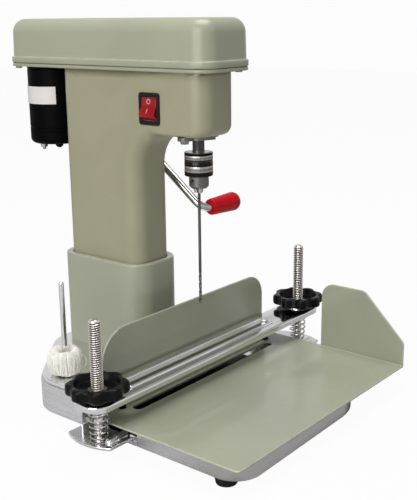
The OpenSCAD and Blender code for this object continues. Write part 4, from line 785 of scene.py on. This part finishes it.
# %% Sides and rear of the head
SPINE_Y = COLUMN_REAR - REAR_R
HEAD_WALL = 0.0038
climb = COLUMN_ROWS + THROAT_ROWS
edge_line = np.vstack([skin[:, -1, 1:], nose[-NOSE_ROWS:, -1, 1:]])
spine_up = np.linspace([SPINE_Y, HEAD_LOW[2]], [SPINE_Y, TOP], climb)
spine_ahead = np.linspace([SPINE_Y, TOP], [NOSE_Y, TOP], len(edge_line) - climb + 1)[1:]
share = np.linspace(0, 1, 6)[None, :, None]
flank = edge_line[:, None] * (1 - share) + np.vstack([spine_up, spine_ahead])[:, None] * share
flanks = [grid_of(x, flank[..., 0], flank[..., 1]) for x in (-HALF_WIDTH, HALF_WIDTH)]
rear_turn = two_quarters(180, 90, 0, 11)
rear_x = np.repeat([-1.0, 1.0], 11) * (HALF_WIDTH - REAR_R) + REAR_R * np.cos(rear_turn)
back = grid_of(rear_x, SPINE_Y + REAR_R * np.sin(rear_turn), spine_up[:, 1:])
head = piece("head_shell", [patch(grid, wrap_v=False) for grid in (skin, nose, tip, *flanks, back)],
             "head", "sage_casting", ["head_casting"], sharp=50)
wall = head.modifiers.new("casting_wall", "SOLIDIFY")
wall.thickness, wall.offset = HEAD_WALL, -1.0
print("front face looks along", head.data.polygons[0].normal)

# %% [markdown]
# ## The belt cover
# A pressed lid over the belt and pulleys. One section starts under the middle of the crown and comes down
# the inside, turns at the rolled rim that laps over the tray, and goes up the outside: a step, a slight
# draft, a big round at the top edge, and the crown. The tray's own lip shows under it as a thin band.

# %% Cover
COVER_LOW, COVER_HIGH = span("belt_cover")
COVER = box_outline(COVER_LOW, COVER_HIGH, 22, 22, 16)
inner_rows = np.vstack([[[-4.6, 353.2], [-5.4, 383.0]], arc(-17.0, 385.0, 11.6, 0, 88, 6)])
outer_rows = np.vstack([arc(-17.0, 385.0, 14.2, 88, 0, 12), [[-2.2, 363.0]],
                        arc(-1.2, 360.4, 0.9, 180, 270, 3), arc(-1.1, 358.4, 1.1, 90, 0, 4),
                        arc(-1.3, 354.3, 1.3, 0, -90, 4), [[-4.4, 353.0]]])
STEP_Z = 359.4


def crowned(row, top):
    """Rows of a crown: the outline drawn in to 70, 40 and 10 per cent, rising by a parabola to the top."""
    flat, out = COVER
    first = flat + row[0] * out
    centre = first.mean(axis=0)
    sizes = np.array([0.7, 0.4, 0.1])[:, None]
    rings = centre + sizes[..., None] * (first - centre)
    return grid_of(rings[..., 0], rings[..., 1], row[1] + (top - row[1]) * (1 - sizes ** 2))


crown = crowned(outer_rows[0], COVER_HIGH[2])
ceiling = crowned(inner_rows[-1], COVER_HIGH[2] - 2.5)
inside = np.vstack([ceiling[::-1], loft(COVER, inner_rows[::-1])])
whole = np.vstack([inside, loft(COVER, outer_rows[::-1]), crown])
rim = np.concatenate([np.zeros(len(inside)), edge_weight(outer_rows[::-1], STEP_Z, 0.7),
                      np.zeros(len(crown))])
cover = patch(whole, caps=True, rim=rim)
piece("cover_shell", [cover], "head", "sage_paint", ["belt_cover"], sharp=40)
lip_rows = np.vstack([[[-5.0, TOP]], arc(-1.3, TOP + 0.9, 0.9, -90, 0, 4),
                      arc(-1.1, TOP + 2.8, 0.7, 0, 90, 4), [[-5.0, TOP + 3.5]]])
piece("tray_lip", [patch(loft(COVER, lip_rows), wrap_u=True)], "head", "sage_paint", sharp=40)

# %% [markdown]
# ## The table with its side guard
# One sheet of steel, folded up at the right. The flat part is a ring between the outline and the slot: each
# point of the outline is joined to the nearest point of the slot, and such lines never cross. The fold is a
# quarter ring carried along the edge, and the guard is a slab standing on it.


# %% Table sheet
def slotted(outline, slot_ends, slot_radius, outer_rows, slot_rows):
    """Closed section: rows round the outline, then round the slot at the point nearest to each."""
    flat, _ = outline
    axis = np.column_stack([np.clip(flat[:, 0], *slot_ends), np.zeros(len(flat))])
    towards = unit(flat - axis)
    return np.vstack([loft(outline, outer_rows), loft((axis + slot_radius * towards, towards), slot_rows)])


SHEET, BEND_R, GUARD_REAR = 2.0, 3.5, -52.0
SLOT_ENDS, SLOT_R = (-97.5, 119.6), 6
SLOPE_REAR, SLOPE_FOOT = -107, 55
(TABLE_LEFT, TABLE_FRONT, TABLE_LOW), (TABLE_RIGHT, TABLE_REAR, GUARD_TOP) = span("table_plate")
TABLE_TOP = TABLE_LOW + SHEET
FLAT_RIGHT, GUARD_FOOT = TABLE_RIGHT - 2.8, TABLE_TOP + 0.6
corners = [[TABLE_LEFT, TABLE_FRONT], [FLAT_RIGHT, TABLE_FRONT], [FLAT_RIGHT, GUARD_REAR],
           [TABLE_RIGHT, GUARD_REAR], [TABLE_RIGHT, TABLE_REAR], [TABLE_LEFT, TABLE_REAR]]
sheet = spaced(*rounded(corners, [5, 2, 1, 1.5, 5, 5]), 3.0)
sheet_rows = np.vstack([[[-1.6, TABLE_LOW]], slab_rows(TABLE_LOW, TABLE_TOP, 0.7), [[-1.6, TABLE_TOP]]])
hole_rows = np.vstack([arc(0.5, TABLE_TOP - 0.5, 0.5, 90, 180, 3),
                       arc(0.5, TABLE_LOW + 0.5, 0.5, 180, 270, 3)])
rim = np.concatenate([[0], edge_weight(sheet_rows[1:-1], TABLE_TOP - 0.4, 0.9), np.zeros(1 + len(hole_rows))])
flat_part = patch(slotted(sheet, SLOT_ENDS, SLOT_R, sheet_rows, hole_rows), wrap_u=True, rim=rim)
bend_at = (TABLE_RIGHT - BEND_R, TABLE_LOW + BEND_R)
bend = np.vstack([arc(*bend_at, BEND_R, -90, 0, 8), arc(*bend_at, BEND_R - SHEET, 0, -90, 8)])
fold = grid_of(bend[:, 0], np.array([[GUARD_REAR], [TABLE_FRONT]]), bend[:, 1])
guard = rounded([[TABLE_FRONT, GUARD_FOOT], [GUARD_REAR, GUARD_FOOT], [GUARD_REAR, GUARD_TOP],
                 [SLOPE_REAR, GUARD_TOP], [TABLE_FRONT, SLOPE_FOOT]], [0.5, 0.5, 16, 9, 6])
upright = slab(guard, TABLE_RIGHT - SHEET, TABLE_RIGHT, 0.7, "yz")
piece("table_sheet", [flat_part, patch(fold, caps=True), upright], "carriage", "sage_sheet_painted_light",
      ["table_plate"])

# %% [markdown]
# ## The rear fence
# The paper's back edge rests against an upright sheet with two rounded shoulders. A flange at its foot goes
# under the table, where the screws hold it.

# %% Rear fence
(FENCE_LEFT, FENCE_FRONT, FENCE_LOW), (FENCE_RIGHT, FENCE_REAR, FENCE_TOP) = span("rear_fence")
fence = rounded(rectangle([FENCE_LEFT, FENCE_LOW], [FENCE_RIGHT, FENCE_TOP]), [1, 1, 26, 35], 14)
flange = box_outline([FENCE_LEFT, FENCE_FRONT], [FENCE_RIGHT, FENCE_REAR - 1], 1, 0.2)
parts = [slab(fence, FENCE_REAR - SHEET, FENCE_REAR, 0.7, "xz"),
         slab(flange, FENCE_LOW, FENCE_LOW + SHEET, 0.4)]
piece("fence_sheet", parts, "carriage", "sage_sheet_painted_light", ["rear_fence"])

# %% [markdown]
# ## Rail and clamp bar
# Both are chromed. The rail is a flat strip with bowed ends and a half-round rib along its front. The clamp
# bar is a shallow channel turned over, with a slot for the drill and a bead on either side of it.


# %% Rail
def half_round(x0, x1, y, z, radius):
    """Half a rod along x: over one radius at each end it shrinks to nought, as a quarter circle."""
    near = np.linspace(0, 1, 9)
    swell = np.sqrt(np.clip(1 - (1 - near) ** 2, 0, 1))
    x = np.concatenate([x0 + radius * near, x1 - radius * near[::-1]])[:, None]
    size = radius * np.concatenate([swell, swell[::-1]])[:, None]
    turn = np.radians(np.linspace(-12, 192, 11))
    return patch(grid_of(x, y + size * np.cos(turn), z + size * np.sin(turn)), wrap_v=False)


STUDS = {side: middle(side + "_stud")[0] for side in ("left", "right")}
BOW_R, BOW_HALF = 55, 31.2
RIB_Y, RIB_R = -15, 4.5
RAIL_Y = middle("lower_rail")[1]
(RAIL_LEFT, _, RAIL_LOW), (RAIL_RIGHT, _, _) = span("lower_rail")
RAIL_TOP = RAIL_LOW + 3
bow = compass(np.radians(np.linspace(-BOW_HALF, BOW_HALF, 17)))
left_tip = [RAIL_LEFT + BOW_R, RAIL_Y] - BOW_R * bow
right_tip = [RAIL_RIGHT - BOW_R, RAIL_Y] + BOW_R * bow
rail = (np.vstack([left_tip, right_tip]), np.vstack([-bow, bow]))
rib = half_round(STUDS["left"] - 6, STUDS["right"] + 6, RIB_Y, RAIL_TOP, RIB_R)
piece("rail_strip", [slab(rail, RAIL_LOW, RAIL_TOP, 0.9), rib], "carriage", "rail_chrome_and_painted_shade", ["lower_rail"],
      sharp=40)

# %% Clamp bar
BAR_LOW, BAR_HIGH = span("clamp_bar")
BAR_FOOT, BAR_TOP = BAR_LOW[2], BAR_LOW[2] + 7
BAR_SLOT, BAR_SLOT_R = (-112.5, 112.5), 5.5
BEAD_END, BEAD_Y, BEAD_R = 118, 8.5, 2.0
bar = spaced(*rounded(rectangle(BAR_LOW, BAR_HIGH), 17, 12), 4.0)
bar_rows = np.vstack([[[-3, BAR_TOP - 3], [-3, BAR_FOOT + 0.3]], arc(-1.0, BAR_FOOT + 0.6, 0.6, -135, 0, 3),
                      arc(-2.6, BAR_TOP - 2.6, 2.6, 0, 90, 6)])
bar_hole = np.vstack([arc(0.8, BAR_TOP - 0.8, 0.8, 90, 180, 4), [[0, BAR_TOP - 3]]])
channel = slotted(bar, BAR_SLOT, BAR_SLOT_R, bar_rows, bar_hole)
beads = [half_round(-BEAD_END, BEAD_END, y, BAR_TOP, BEAD_R) for y in (-BEAD_Y, BEAD_Y)]
piece("clamp_channel", [patch(channel, wrap_u=True), *beads], "clamp", "chrome", ["clamp_bar"], sharp=40)

# %% [markdown]
# ## Threaded studs
# The clamp runs on two coarse screws. A real thread climbs, so its radius depends on height and on the
# angle together: one turn further round is one pitch further up. A screw made of plain rings would look
# wrong at the edge.

# %% Studs
PITCH, ROOT_R, DEPTH = 2.2, 4.85, 1.1
THREAD_LOW, THREAD_HIGH = 40, 133.4
STUD_TOP = span("left_stud")[1][2]


def stud(x):
    """Radius = root + depth * a flat-topped wave of (height / pitch - angle / turn), faded at both ends."""
    shank = [RAIL_TOP, 20, 30, 38]
    thread = np.arange(THREAD_LOW, THREAD_HIGH, PITCH / 10)
    z = np.concatenate([shank, thread, STUD_TOP - [1.0, 0.4, 0.0]])[:, None]
    turn = np.linspace(0, 1, 32, endpoint=False)
    phase = ((z - THREAD_LOW - 0.2) / PITCH - turn) % 1.0
    wave = np.clip(1.3 - 3.2 * np.abs(phase - 0.5), 0, 1)
    fade = np.clip((z - THREAD_LOW) / 3, 0, 1) * np.clip((THREAD_HIGH - z) / 1.2, 0, 1)
    radius = ROOT_R + DEPTH * wave * fade
    radius[-2:] = [[4.6], [3.9]]
    angle = 2 * np.pi * turn
    grid = grid_of(x + radius * np.cos(angle), radius * np.sin(angle), z)
    # The rim weight is low in the thread's roots, which the finish paints dark as painted shade.
    return patch(grid, caps=True, rim=1 - fade * (1 - wave))


for side, x in STUDS.items():
    piece(side + "_screw", [stud(x)], "carriage", "threaded_steel", [side + "_stud"], sharp=60)

# %% [markdown]
# ## Star knobs
# Moulded knobs with eight lobes, a dished top and a hub below. Outside, the section grows and shrinks a
# lobed outline; inside the dish it goes over to plain circles. The section ends where it began, at the
# metal bush.

# %% Knobs
LOBES, LOBE_HEIGHT, KNOB_R, KNOB_EDGE = 8, 3.8, 30.0, 73.9
KNOB = np.array([
    [0, 9.05, 59.5], [0, 14.5, 59.5], [0, 15.0, 60.0], [0, 15.0, 62.0], [0, 15.8, 62.5], [1, 0.90, 62.5],
    [1, 0.955, 62.9], [1, 0.985, 63.8], [1, 1.0, 65.4], [1, 1.0, 70.6], [1, 0.99, 72.0], [1, 0.965, 73.1],
    [1, 0.93, 73.8], [1, 0.88, 74.0], [0, 23.2, 74.0], [0, 22.4, 73.7], [0, 21.9, 72.8], [0, 20.9, 68.2],
    [0, 20.2, 67.1], [0, 19.0, 66.7], [0, 11.5, 66.7], [0, 10.9, 66.95], [0, 9.05, 66.95]])


def knob(x):
    """Radius = lobed outline * scale where the first column is 1, and a plain circle where it is 0."""
    lobed, radius, z = KNOB[:, :1], KNOB[:, 1:2], KNOB[:, 2:]
    turn = full_turn(24 * LOBES)
    wave = np.clip(0.5 + 0.62 * np.cos(LOBES * turn), 0, 1) ** 0.9
    lobes = KNOB_R - LOBE_HEIGHT * (1 - wave)
    radius = np.where(lobed > 0.5, radius * lobes, radius)
    rim = 0.6 * np.exp(-((z - KNOB_EDGE) / 0.5) ** 2)
    return patch(grid_of(x + radius * np.cos(turn), radius * np.sin(turn), z), wrap_u=True, rim=rim)


for side, x in STUDS.items():
    piece(side + "_star_knob", [knob(x)], side + "_star", "black_plastic", [side + "_knob"], sharp=45)

# %% [markdown]
# ## Springs
# A spring lifts the clamp bar when its knob is slackened. Its end coils lie flat and the coils between them
# climb, which is a helix whose height is a function of the turn in three stretches. A longer spring inside
# the column lifts the head.

# %% Clamp springs and return spring
END_TURN, END_SLOPE = 0.7, 0.7


def spring(x, y, low, high, radii, wire, turns):
    """Helix: it climbs END_SLOPE wires a turn over END_TURN at both ends, and the rest of the way between."""
    done = np.linspace(0, turns, 26 * turns + 1)
    first_end = END_SLOPE * np.minimum(done, END_TURN)
    last_end = END_SLOPE * np.clip(done - turns + END_TURN, 0, END_TURN)
    between = np.clip((done - END_TURN) / (turns - 2 * END_TURN), 0, 1)
    rest = high - low - wire * (1 + 2 * END_SLOPE * END_TURN)
    z = low + wire * (0.5 + first_end + last_end) + rest * between
    radius = radii[0] + (radii[1] - radii[0]) * between
    out = np.column_stack([compass(2 * np.pi * done), np.zeros(len(done))])
    path = np.column_stack([[x, y] + radius[:, None] * out[:, :2], z])
    return patch(tube(path, out, wire / 2), caps=True)


for side, x in STUDS.items():
    wound = spring(x, 0, low=17.2, high=54.8, radii=(8.4, 9.6), wire=1.9, turns=7)
    coil = piece(side + "_coil", [wound], None, "plated_rod", [side + "_spring"])
    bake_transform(coil)
LIFT_Y = middle("return_spring")[1]
wound = spring(0, LIFT_Y, low=45.3, high=215.3, radii=(8, 8), wire=2.0, turns=18)
coil = piece("lift_coil", [wound], None, "steel", ["return_spring"])
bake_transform(coil)

# %% [markdown]
# ## The ball of thread
# Binding thread is wound over and through a small ball that turns on a pin. One long strand is carried
# round an oval section while it creeps round the pin, so neighbouring turns lie side by side and slant a
# little. A dark core would show between them, so a soft inner body of the same thread fills the middle. One
# loop has come loose.

# %% Thread ball
BALL = middle("thread_core")
BALL_R, STRAND_R, LOOSE_R = 11.5, 0.42, 0.36
OVAL = np.array([6.8, 13.0])
LOOPS, CREEP = 221, 9


def winding(loops, creep):
    """Round the oval in loops turns, round the pin in creep turns; slow waves make the bundle uneven."""
    t = np.linspace(0, 1, loops * 34 + 1)
    loop, way = 2 * np.pi * loops * t, 2 * np.pi * creep * t
    lump = 1 + 0.035 * np.sin(3 * way + 0.6)
    lump += 0.03 * np.sin(37.0 * way / creep) + 0.025 * np.sin(61.3 * way / creep)
    reach = BALL_R + OVAL[0] * np.cos(loop) * lump
    height = OVAL[1] * np.sin(loop) * (0.97 + 0.03 * np.sin(5 * way)) * np.minimum(lump, 1.02)
    around = compass(way + 0.05 * np.sin(2 * loop + 0.37 * way))
    path = BALL + np.column_stack([reach[:, None] * around, height])
    out = np.column_stack([np.cos(loop)[:, None] * around, np.sin(loop)])
    return patch(tube(path, out, STRAND_R, 5), caps=True)


core_rows = [BALL_R, BALL[2]] + (OVAL - [0.6, 0.8]) * compass(full_turn(24))
core = turned(*BALL[:2], core_rows, 64)
slack = np.linspace(0, 1, 60)
stray_r = 17.0 + 4.4 * np.sin(np.pi * slack)
stray_z = 8.5 * np.cos(np.pi * slack) - 1
stray = BALL + np.column_stack([stray_r[:, None] * compass(np.radians(-62 + 26 * slack)), stray_z])
loose = patch(tube(stray, np.array([[0.3, 0.2, 1.0]]), LOOSE_R, 6), caps=True)
parts = [core, winding(LOOPS, CREEP), loose]
piece("thread_bundle", parts, "thread_ball", "thread", ["thread_core", "thread_winding"], sharp=80)

# %% [markdown]
# ## Motor, chuck and drill
# The motor's can is a drawn tube with a rolled bead. The chuck is turned: black bands and bright knurled
# bands, each a stretch of one section, with grooves cut by an angle wave. The drill is a rod whose last
# stretch has two flutes.

# %% Motor can
CAN_R = 29.5
MOTOR_Y = middle("motor_can")[1]
can_rows = np.vstack([[[4.2, 343], [26.4, 343], [26.4, 277.1]], arc(CAN_R - 0.5, 277.6, 0.5, -90, 0, 3),
                      [[CAN_R, 280.9]], arc(CAN_R, 281.5, 0.6, -90, -270, 6),
                      [[CAN_R, 282.3], [CAN_R, 345.2]], arc(CAN_R, 345.8, 0.5, -90, -270, 6),
                      [[CAN_R, 346.4]], arc(CAN_R - 0.7, TOP - 0.7, 0.7, 0, 90, 3), [[4.2, TOP]]])
piece("motor_shell", [turned(0, MOTOR_Y, can_rows, 96)], "head", "black_paint", ["motor_can"])

# %% Chuck
GROOVES, GROOVE_DEPTH = 64, 0.16


def knurled(rows):
    """Turned section of (radius, height, bright): bright rows are cut by a wave of the angle."""
    radius, z, bright = np.hsplit(np.array(rows, float), 3)
    turn = full_turn(5 * GROOVES)
    radius = radius - GROOVE_DEPTH * (0.5 - 0.5 * np.cos(GROOVES * turn)) * (bright > 0.9)
    return patch(grid_of(radius * np.cos(turn), radius * np.sin(turn), z), wrap_u=True, rim=bright)


ring_rows = [[10.6, 245.5, 0], [13.4, 245.5, 0], [14.2, 245.9, 0], [14.4, 246.5, 0], [14.4, 249.7, 0],
             [14.1, 250.0, 0.3], [14.3, 250.3, 0.95], [14.3, 253.0, 1], [14.3, 255.7, 0.95],
             [14.1, 256.0, 0.3], [14.4, 256.3, 0], [14.4, 259.9, 0], [14.1, 260.4, 0], [10.6, 260.4, 0]]
piece("chuck_ring_bands", [knurled(ring_rows)], "chuck_ring", "chuck_bands", ["chuck_sleeve"])
collar_rows = [[13.6, 260.9, 0], [14.2, 261.3, 0], [14.35, 262.1, 0], [14.1, 262.4, 0.3], [14.3, 262.7, 0.95],
               [14.3, 264.5, 1], [14.3, 266.3, 0.95], [14.1, 266.6, 0.3], [14.35, 266.9, 0],
               [14.35, 268.8, 0], [13.6, 269.5, 0], [11.4, 269.7, 0.6], [7.0, 269.7, 1], [7.0, 269.2, 1],
               [12.6, 268.6, 0], [13.6, 267.0, 0]]
piece("chuck_collar_bands", [knurled(collar_rows)], "spindle", "chuck_bands")

# %% Drill
DRILL_R, LEAD, POINT_Z, FLUTE_TOP = 1.5, 17, 110.8, 148
stretches = [np.linspace(POINT_Z, 112.2, 5), np.linspace(112.4, 150, 140), [155, 200, 264]]
drill_z = np.concatenate(stretches)[:, None]
turn = full_turn(36)
twist = turn - (drill_z - POINT_Z) * 2 * np.pi / LEAD
flute = np.clip(np.cos(2 * twist), 0, 1) ** 1.5 * np.clip((FLUTE_TOP - drill_z) / 8, 0, 1)
radius = DRILL_R * (1 - 0.42 * flute) * np.clip((drill_z - POINT_Z + 0.1) / 1.3, 0.06, 1)
bit = patch(grid_of(radius * np.cos(turn), radius * np.sin(turn), drill_z), caps=True)
piece("twist_drill", [bit], "spindle", "drill_steel", ["drill_bit"], sharp=60)

# %% [markdown]
# ## The switch
# A rocker switch clipped into the arm's side: a black frame, and a red rocker that is pressed in at the
# top. The frame is a ring between two rounded rectangles, with a ledge inside that comes close to the
# rocker. The marks are the usual ring for off and bar for on.

# %% Switch frame
SWITCH = middle("switch_bezel")[1:]
SIDE = -HALF_WIDTH
LEDGE, SHELF, REAR = SIDE - 0.3, SIDE + 0.5, SIDE + 8


def switch_outline(half_width, down, up, radius):
    """A rounded rectangle round the switch's middle, on the arm's side."""
    return rounded(SWITCH + np.array(rectangle([-half_width, -down], [half_width, up])), radius, 6)


outer = switch_outline(13.5, 16, 16, 3.0)
inner = switch_outline(10.3, 12.15, 12.15, 0.6)
ledge = switch_outline(10.12, 11.62, 11.38, 0.3)
front_rows = np.vstack([[[0, SIDE]], arc(-0.9, SIDE - 1.3, 0.9, 0, -90, 4)])
window_rows = np.vstack([arc(0.6, SIDE - 1.6, 0.6, -90, -180, 3), [[0, LEDGE]]])
stretches = [(outer, front_rows), (inner, window_rows), (ledge, [[0, LEDGE], [0, SHELF]]),
             (inner, [[0, SHELF], [0, REAR]]), (outer, [[-2.2, REAR], [-2.2, SIDE]])]
ring = np.vstack([loft(outline, rows, "yz") for outline, rows in stretches])
piece("switch_frame", [patch(ring, wrap_u=True)], "head", "matte_black", ["switch_bezel"])

# %% Rocker and its marks
PIVOT = np.array([-26.2, SWITCH[1]])
UPPER_END, FOLD, LOWER_END = PIVOT + [[-3.2, 11.3], [-4.0, 2.6], [-8.6, -5.4]]
MARK_PROUD, MARK_SUNK = 0.12, -0.3
rocker_side = rounded([FOLD, LOWER_END, *(PIVOT + [[-2.0, -11.5], [5.5, -10.4], [5.5, 10.4]]), UPPER_END],
                      [2.2, 0.7, 1.2, 0.5, 0.5, 1.0])
rocker_ends = span("switch_rocker")[:, 1]
piece("switch_paddle", [slab(rocker_side, *rocker_ends, 0.7, "xz")], "rocker", "red_lens", ["switch_rocker"])


def on_paddle(end, up, sideways, lift):
    """A point of the face from the fold to an end: up its slope, sideways across it, proud by lift."""
    slope = (end - FOLD) / np.linalg.norm(end - FOLD)
    out = np.array([-abs(slope[1]), slope[0] * np.sign(slope[1])])
    return grid_of(FOLD[0] + up * slope[0] + lift * out[0], SWITCH[0] + sideways,
                   FOLD[1] + up * slope[1] + lift * out[1])


turn = full_turn(40)
ring_r = np.array([[1.8], [1.8], [2.6], [2.6]])
ring_lift = np.array([[MARK_SUNK], [MARK_PROUD], [MARK_PROUD], [MARK_SUNK]])
off_mark = on_paddle(UPPER_END, 4.8 + ring_r * np.sin(turn), ring_r * np.cos(turn), ring_lift)
bar_lift = np.array([MARK_PROUD, MARK_PROUD, MARK_SUNK, MARK_SUNK])
on_mark = on_paddle(LOWER_END, np.array([[2.6], [7.4]]), np.array([-0.5, 0.5, 0.5, -0.5]), bar_lift)
marks = [patch(off_mark, wrap_u=True), patch(on_mark, caps=True)]
piece("switch_marks", marks, "rocker", "white_ink")

# %% [markdown]
# ## Camera
# The photograph was measured by fitting a camera to the machine's straight edges. The camera looks down a
# little, from the front left, and the numbers below are that fit.


# %% Camera
def seat(made, x_axis, y_axis, z_axis, place):
    """Put an object at a place, with its own axes along three directions."""
    columns = np.column_stack([x_axis, y_axis, z_axis, place])
    made.matrix_world = Matrix(np.vstack([columns, [0, 0, 0, 1]]).tolist())


LENS_MM, SENSOR_MM = 63.71, 36.0
CAMERA_PLACE = model_metres([-674.3, -563.9, 401.9])
azimuth, elevation, roll = np.radians([-50.67, 14.92, -0.65])
level = np.array([np.cos(azimuth), np.sin(azimuth), 0])
backwards = np.array([np.sin(azimuth) * np.cos(elevation), -np.cos(azimuth) * np.cos(elevation),
                      np.sin(elevation)])
upright = np.cross(backwards, level)
right = np.cos(roll) * level + np.sin(roll) * upright
above = np.cos(roll) * upright - np.sin(roll) * level
lens = bpy.data.cameras.new("photo_camera")
lens.lens, lens.sensor_width, lens.sensor_fit = LENS_MM, SENSOR_MM, "AUTO"
lens.clip_start, lens.clip_end = 0.05, 50
camera = stand("photo_camera", lens)
seat(camera, right, above, backwards, CAMERA_PLACE)
bpy.context.scene.camera = camera
print("camera stands at", camera.location)

# %% [markdown]
# ## Light, floor and background
# The photograph is a product shot on white: broad soft light from the left and above, and a front that
# stays darker. A large lamp at the left, another overhead and a dim sky do that. The background is white to
# the camera and a pale grey to reflections. All other rays meet the dim sky, so the white adds no light.


# %% Floor
def blended(tree, share, first, second):
    """Two shaders mixed by a share."""
    return node(tree, "MixShader", n0=share, n1=first, n2=second).outputs[0]


floor_finish = bpy.data.materials.new("studio_floor")
floor_finish.use_nodes = True
tree = floor_finish.node_tree
tree.nodes.clear()
seen = node(tree, "LightPath").outputs["Is Camera Ray"]
matt = node(tree, "BsdfDiffuse", Color=(0.62, 0.62, 0.62)).outputs[0]
white = node(tree, "Emission", Color=(1, 1, 1), Strength=1.0).outputs[0]
surface = blended(tree, maths(tree, "MULTIPLY", seen, 0.96), matt, white)
node(tree, "OutputMaterial", Surface=surface)
reach = np.linspace(-5, 5, 3)
points, faces, _ = patch(grid_of(reach[:, None], reach, 0.0), wrap_v=False)
mesh = bpy.data.meshes.new("floor")
mesh.from_pydata(points.tolist(), [], faces)
mesh.materials.append(floor_finish)
floor = stand("floor", mesh)
print("floor reaches from", reach[0], "to", reach[-1], "metres")

# %% Sky
world = bpy.data.worlds.new("studio")
bpy.context.scene.world = world
world.use_nodes = True
tree = world.node_tree
tree.nodes.clear()
ray = node(tree, "LightPath").outputs
mirrored = maths(tree, "MAXIMUM", ray["Is Glossy Ray"], ray["Is Transmission Ray"])
upwards = axis_value(tree, node(tree, "TexCoord").outputs["Generated"], 2)
tone = spread(tree, upwards, 0.12, 0.75, 1.0, 0.42)
studio_grey = node(tree, "CombineColor", Red=tone, Green=tone, Blue=tone).outputs[0]
sky = node(tree, "Background", Color=(0.97, 0.99, 1.0), Strength=0.17).outputs[0]
studio = node(tree, "Background", Color=studio_grey, Strength=0.9).outputs[0]
backdrop = node(tree, "Background", Color=(1, 1, 1), Strength=0.98).outputs[0]
surface = blended(tree, ray["Is Camera Ray"], blended(tree, mirrored, sky, studio), backdrop)
node(tree, "OutputWorld", Surface=surface)
print("sky nodes:", len(tree.nodes))


# %% Lamps
def lamp(name, place, target, size, power, colour):
    """A square area lamp that faces a target."""
    data = bpy.data.lights.new(name, "AREA")
    data.size, data.energy, data.color = size, power, colour
    away = np.subtract(place, target) / np.linalg.norm(np.subtract(place, target))
    level = np.cross([0, 0, 1], away)
    level = level / np.linalg.norm(level)
    seat(stand(name, data), level, np.cross(away, level), away, place)
    print(name, power, "watts")


lamp("key_lamp", (-1.05, -0.24, 0.66), (0, 0, 0.2), 0.9, 9.9, (1.0, 0.98, 0.965))
lamp("top_lamp", (0.05, -0.05, 1.7), (0, -0.08, 0.03), 1.0, 20, (1.0, 0.99, 0.97))
bpy.context.scene.view_settings.view_transform = "Standard"
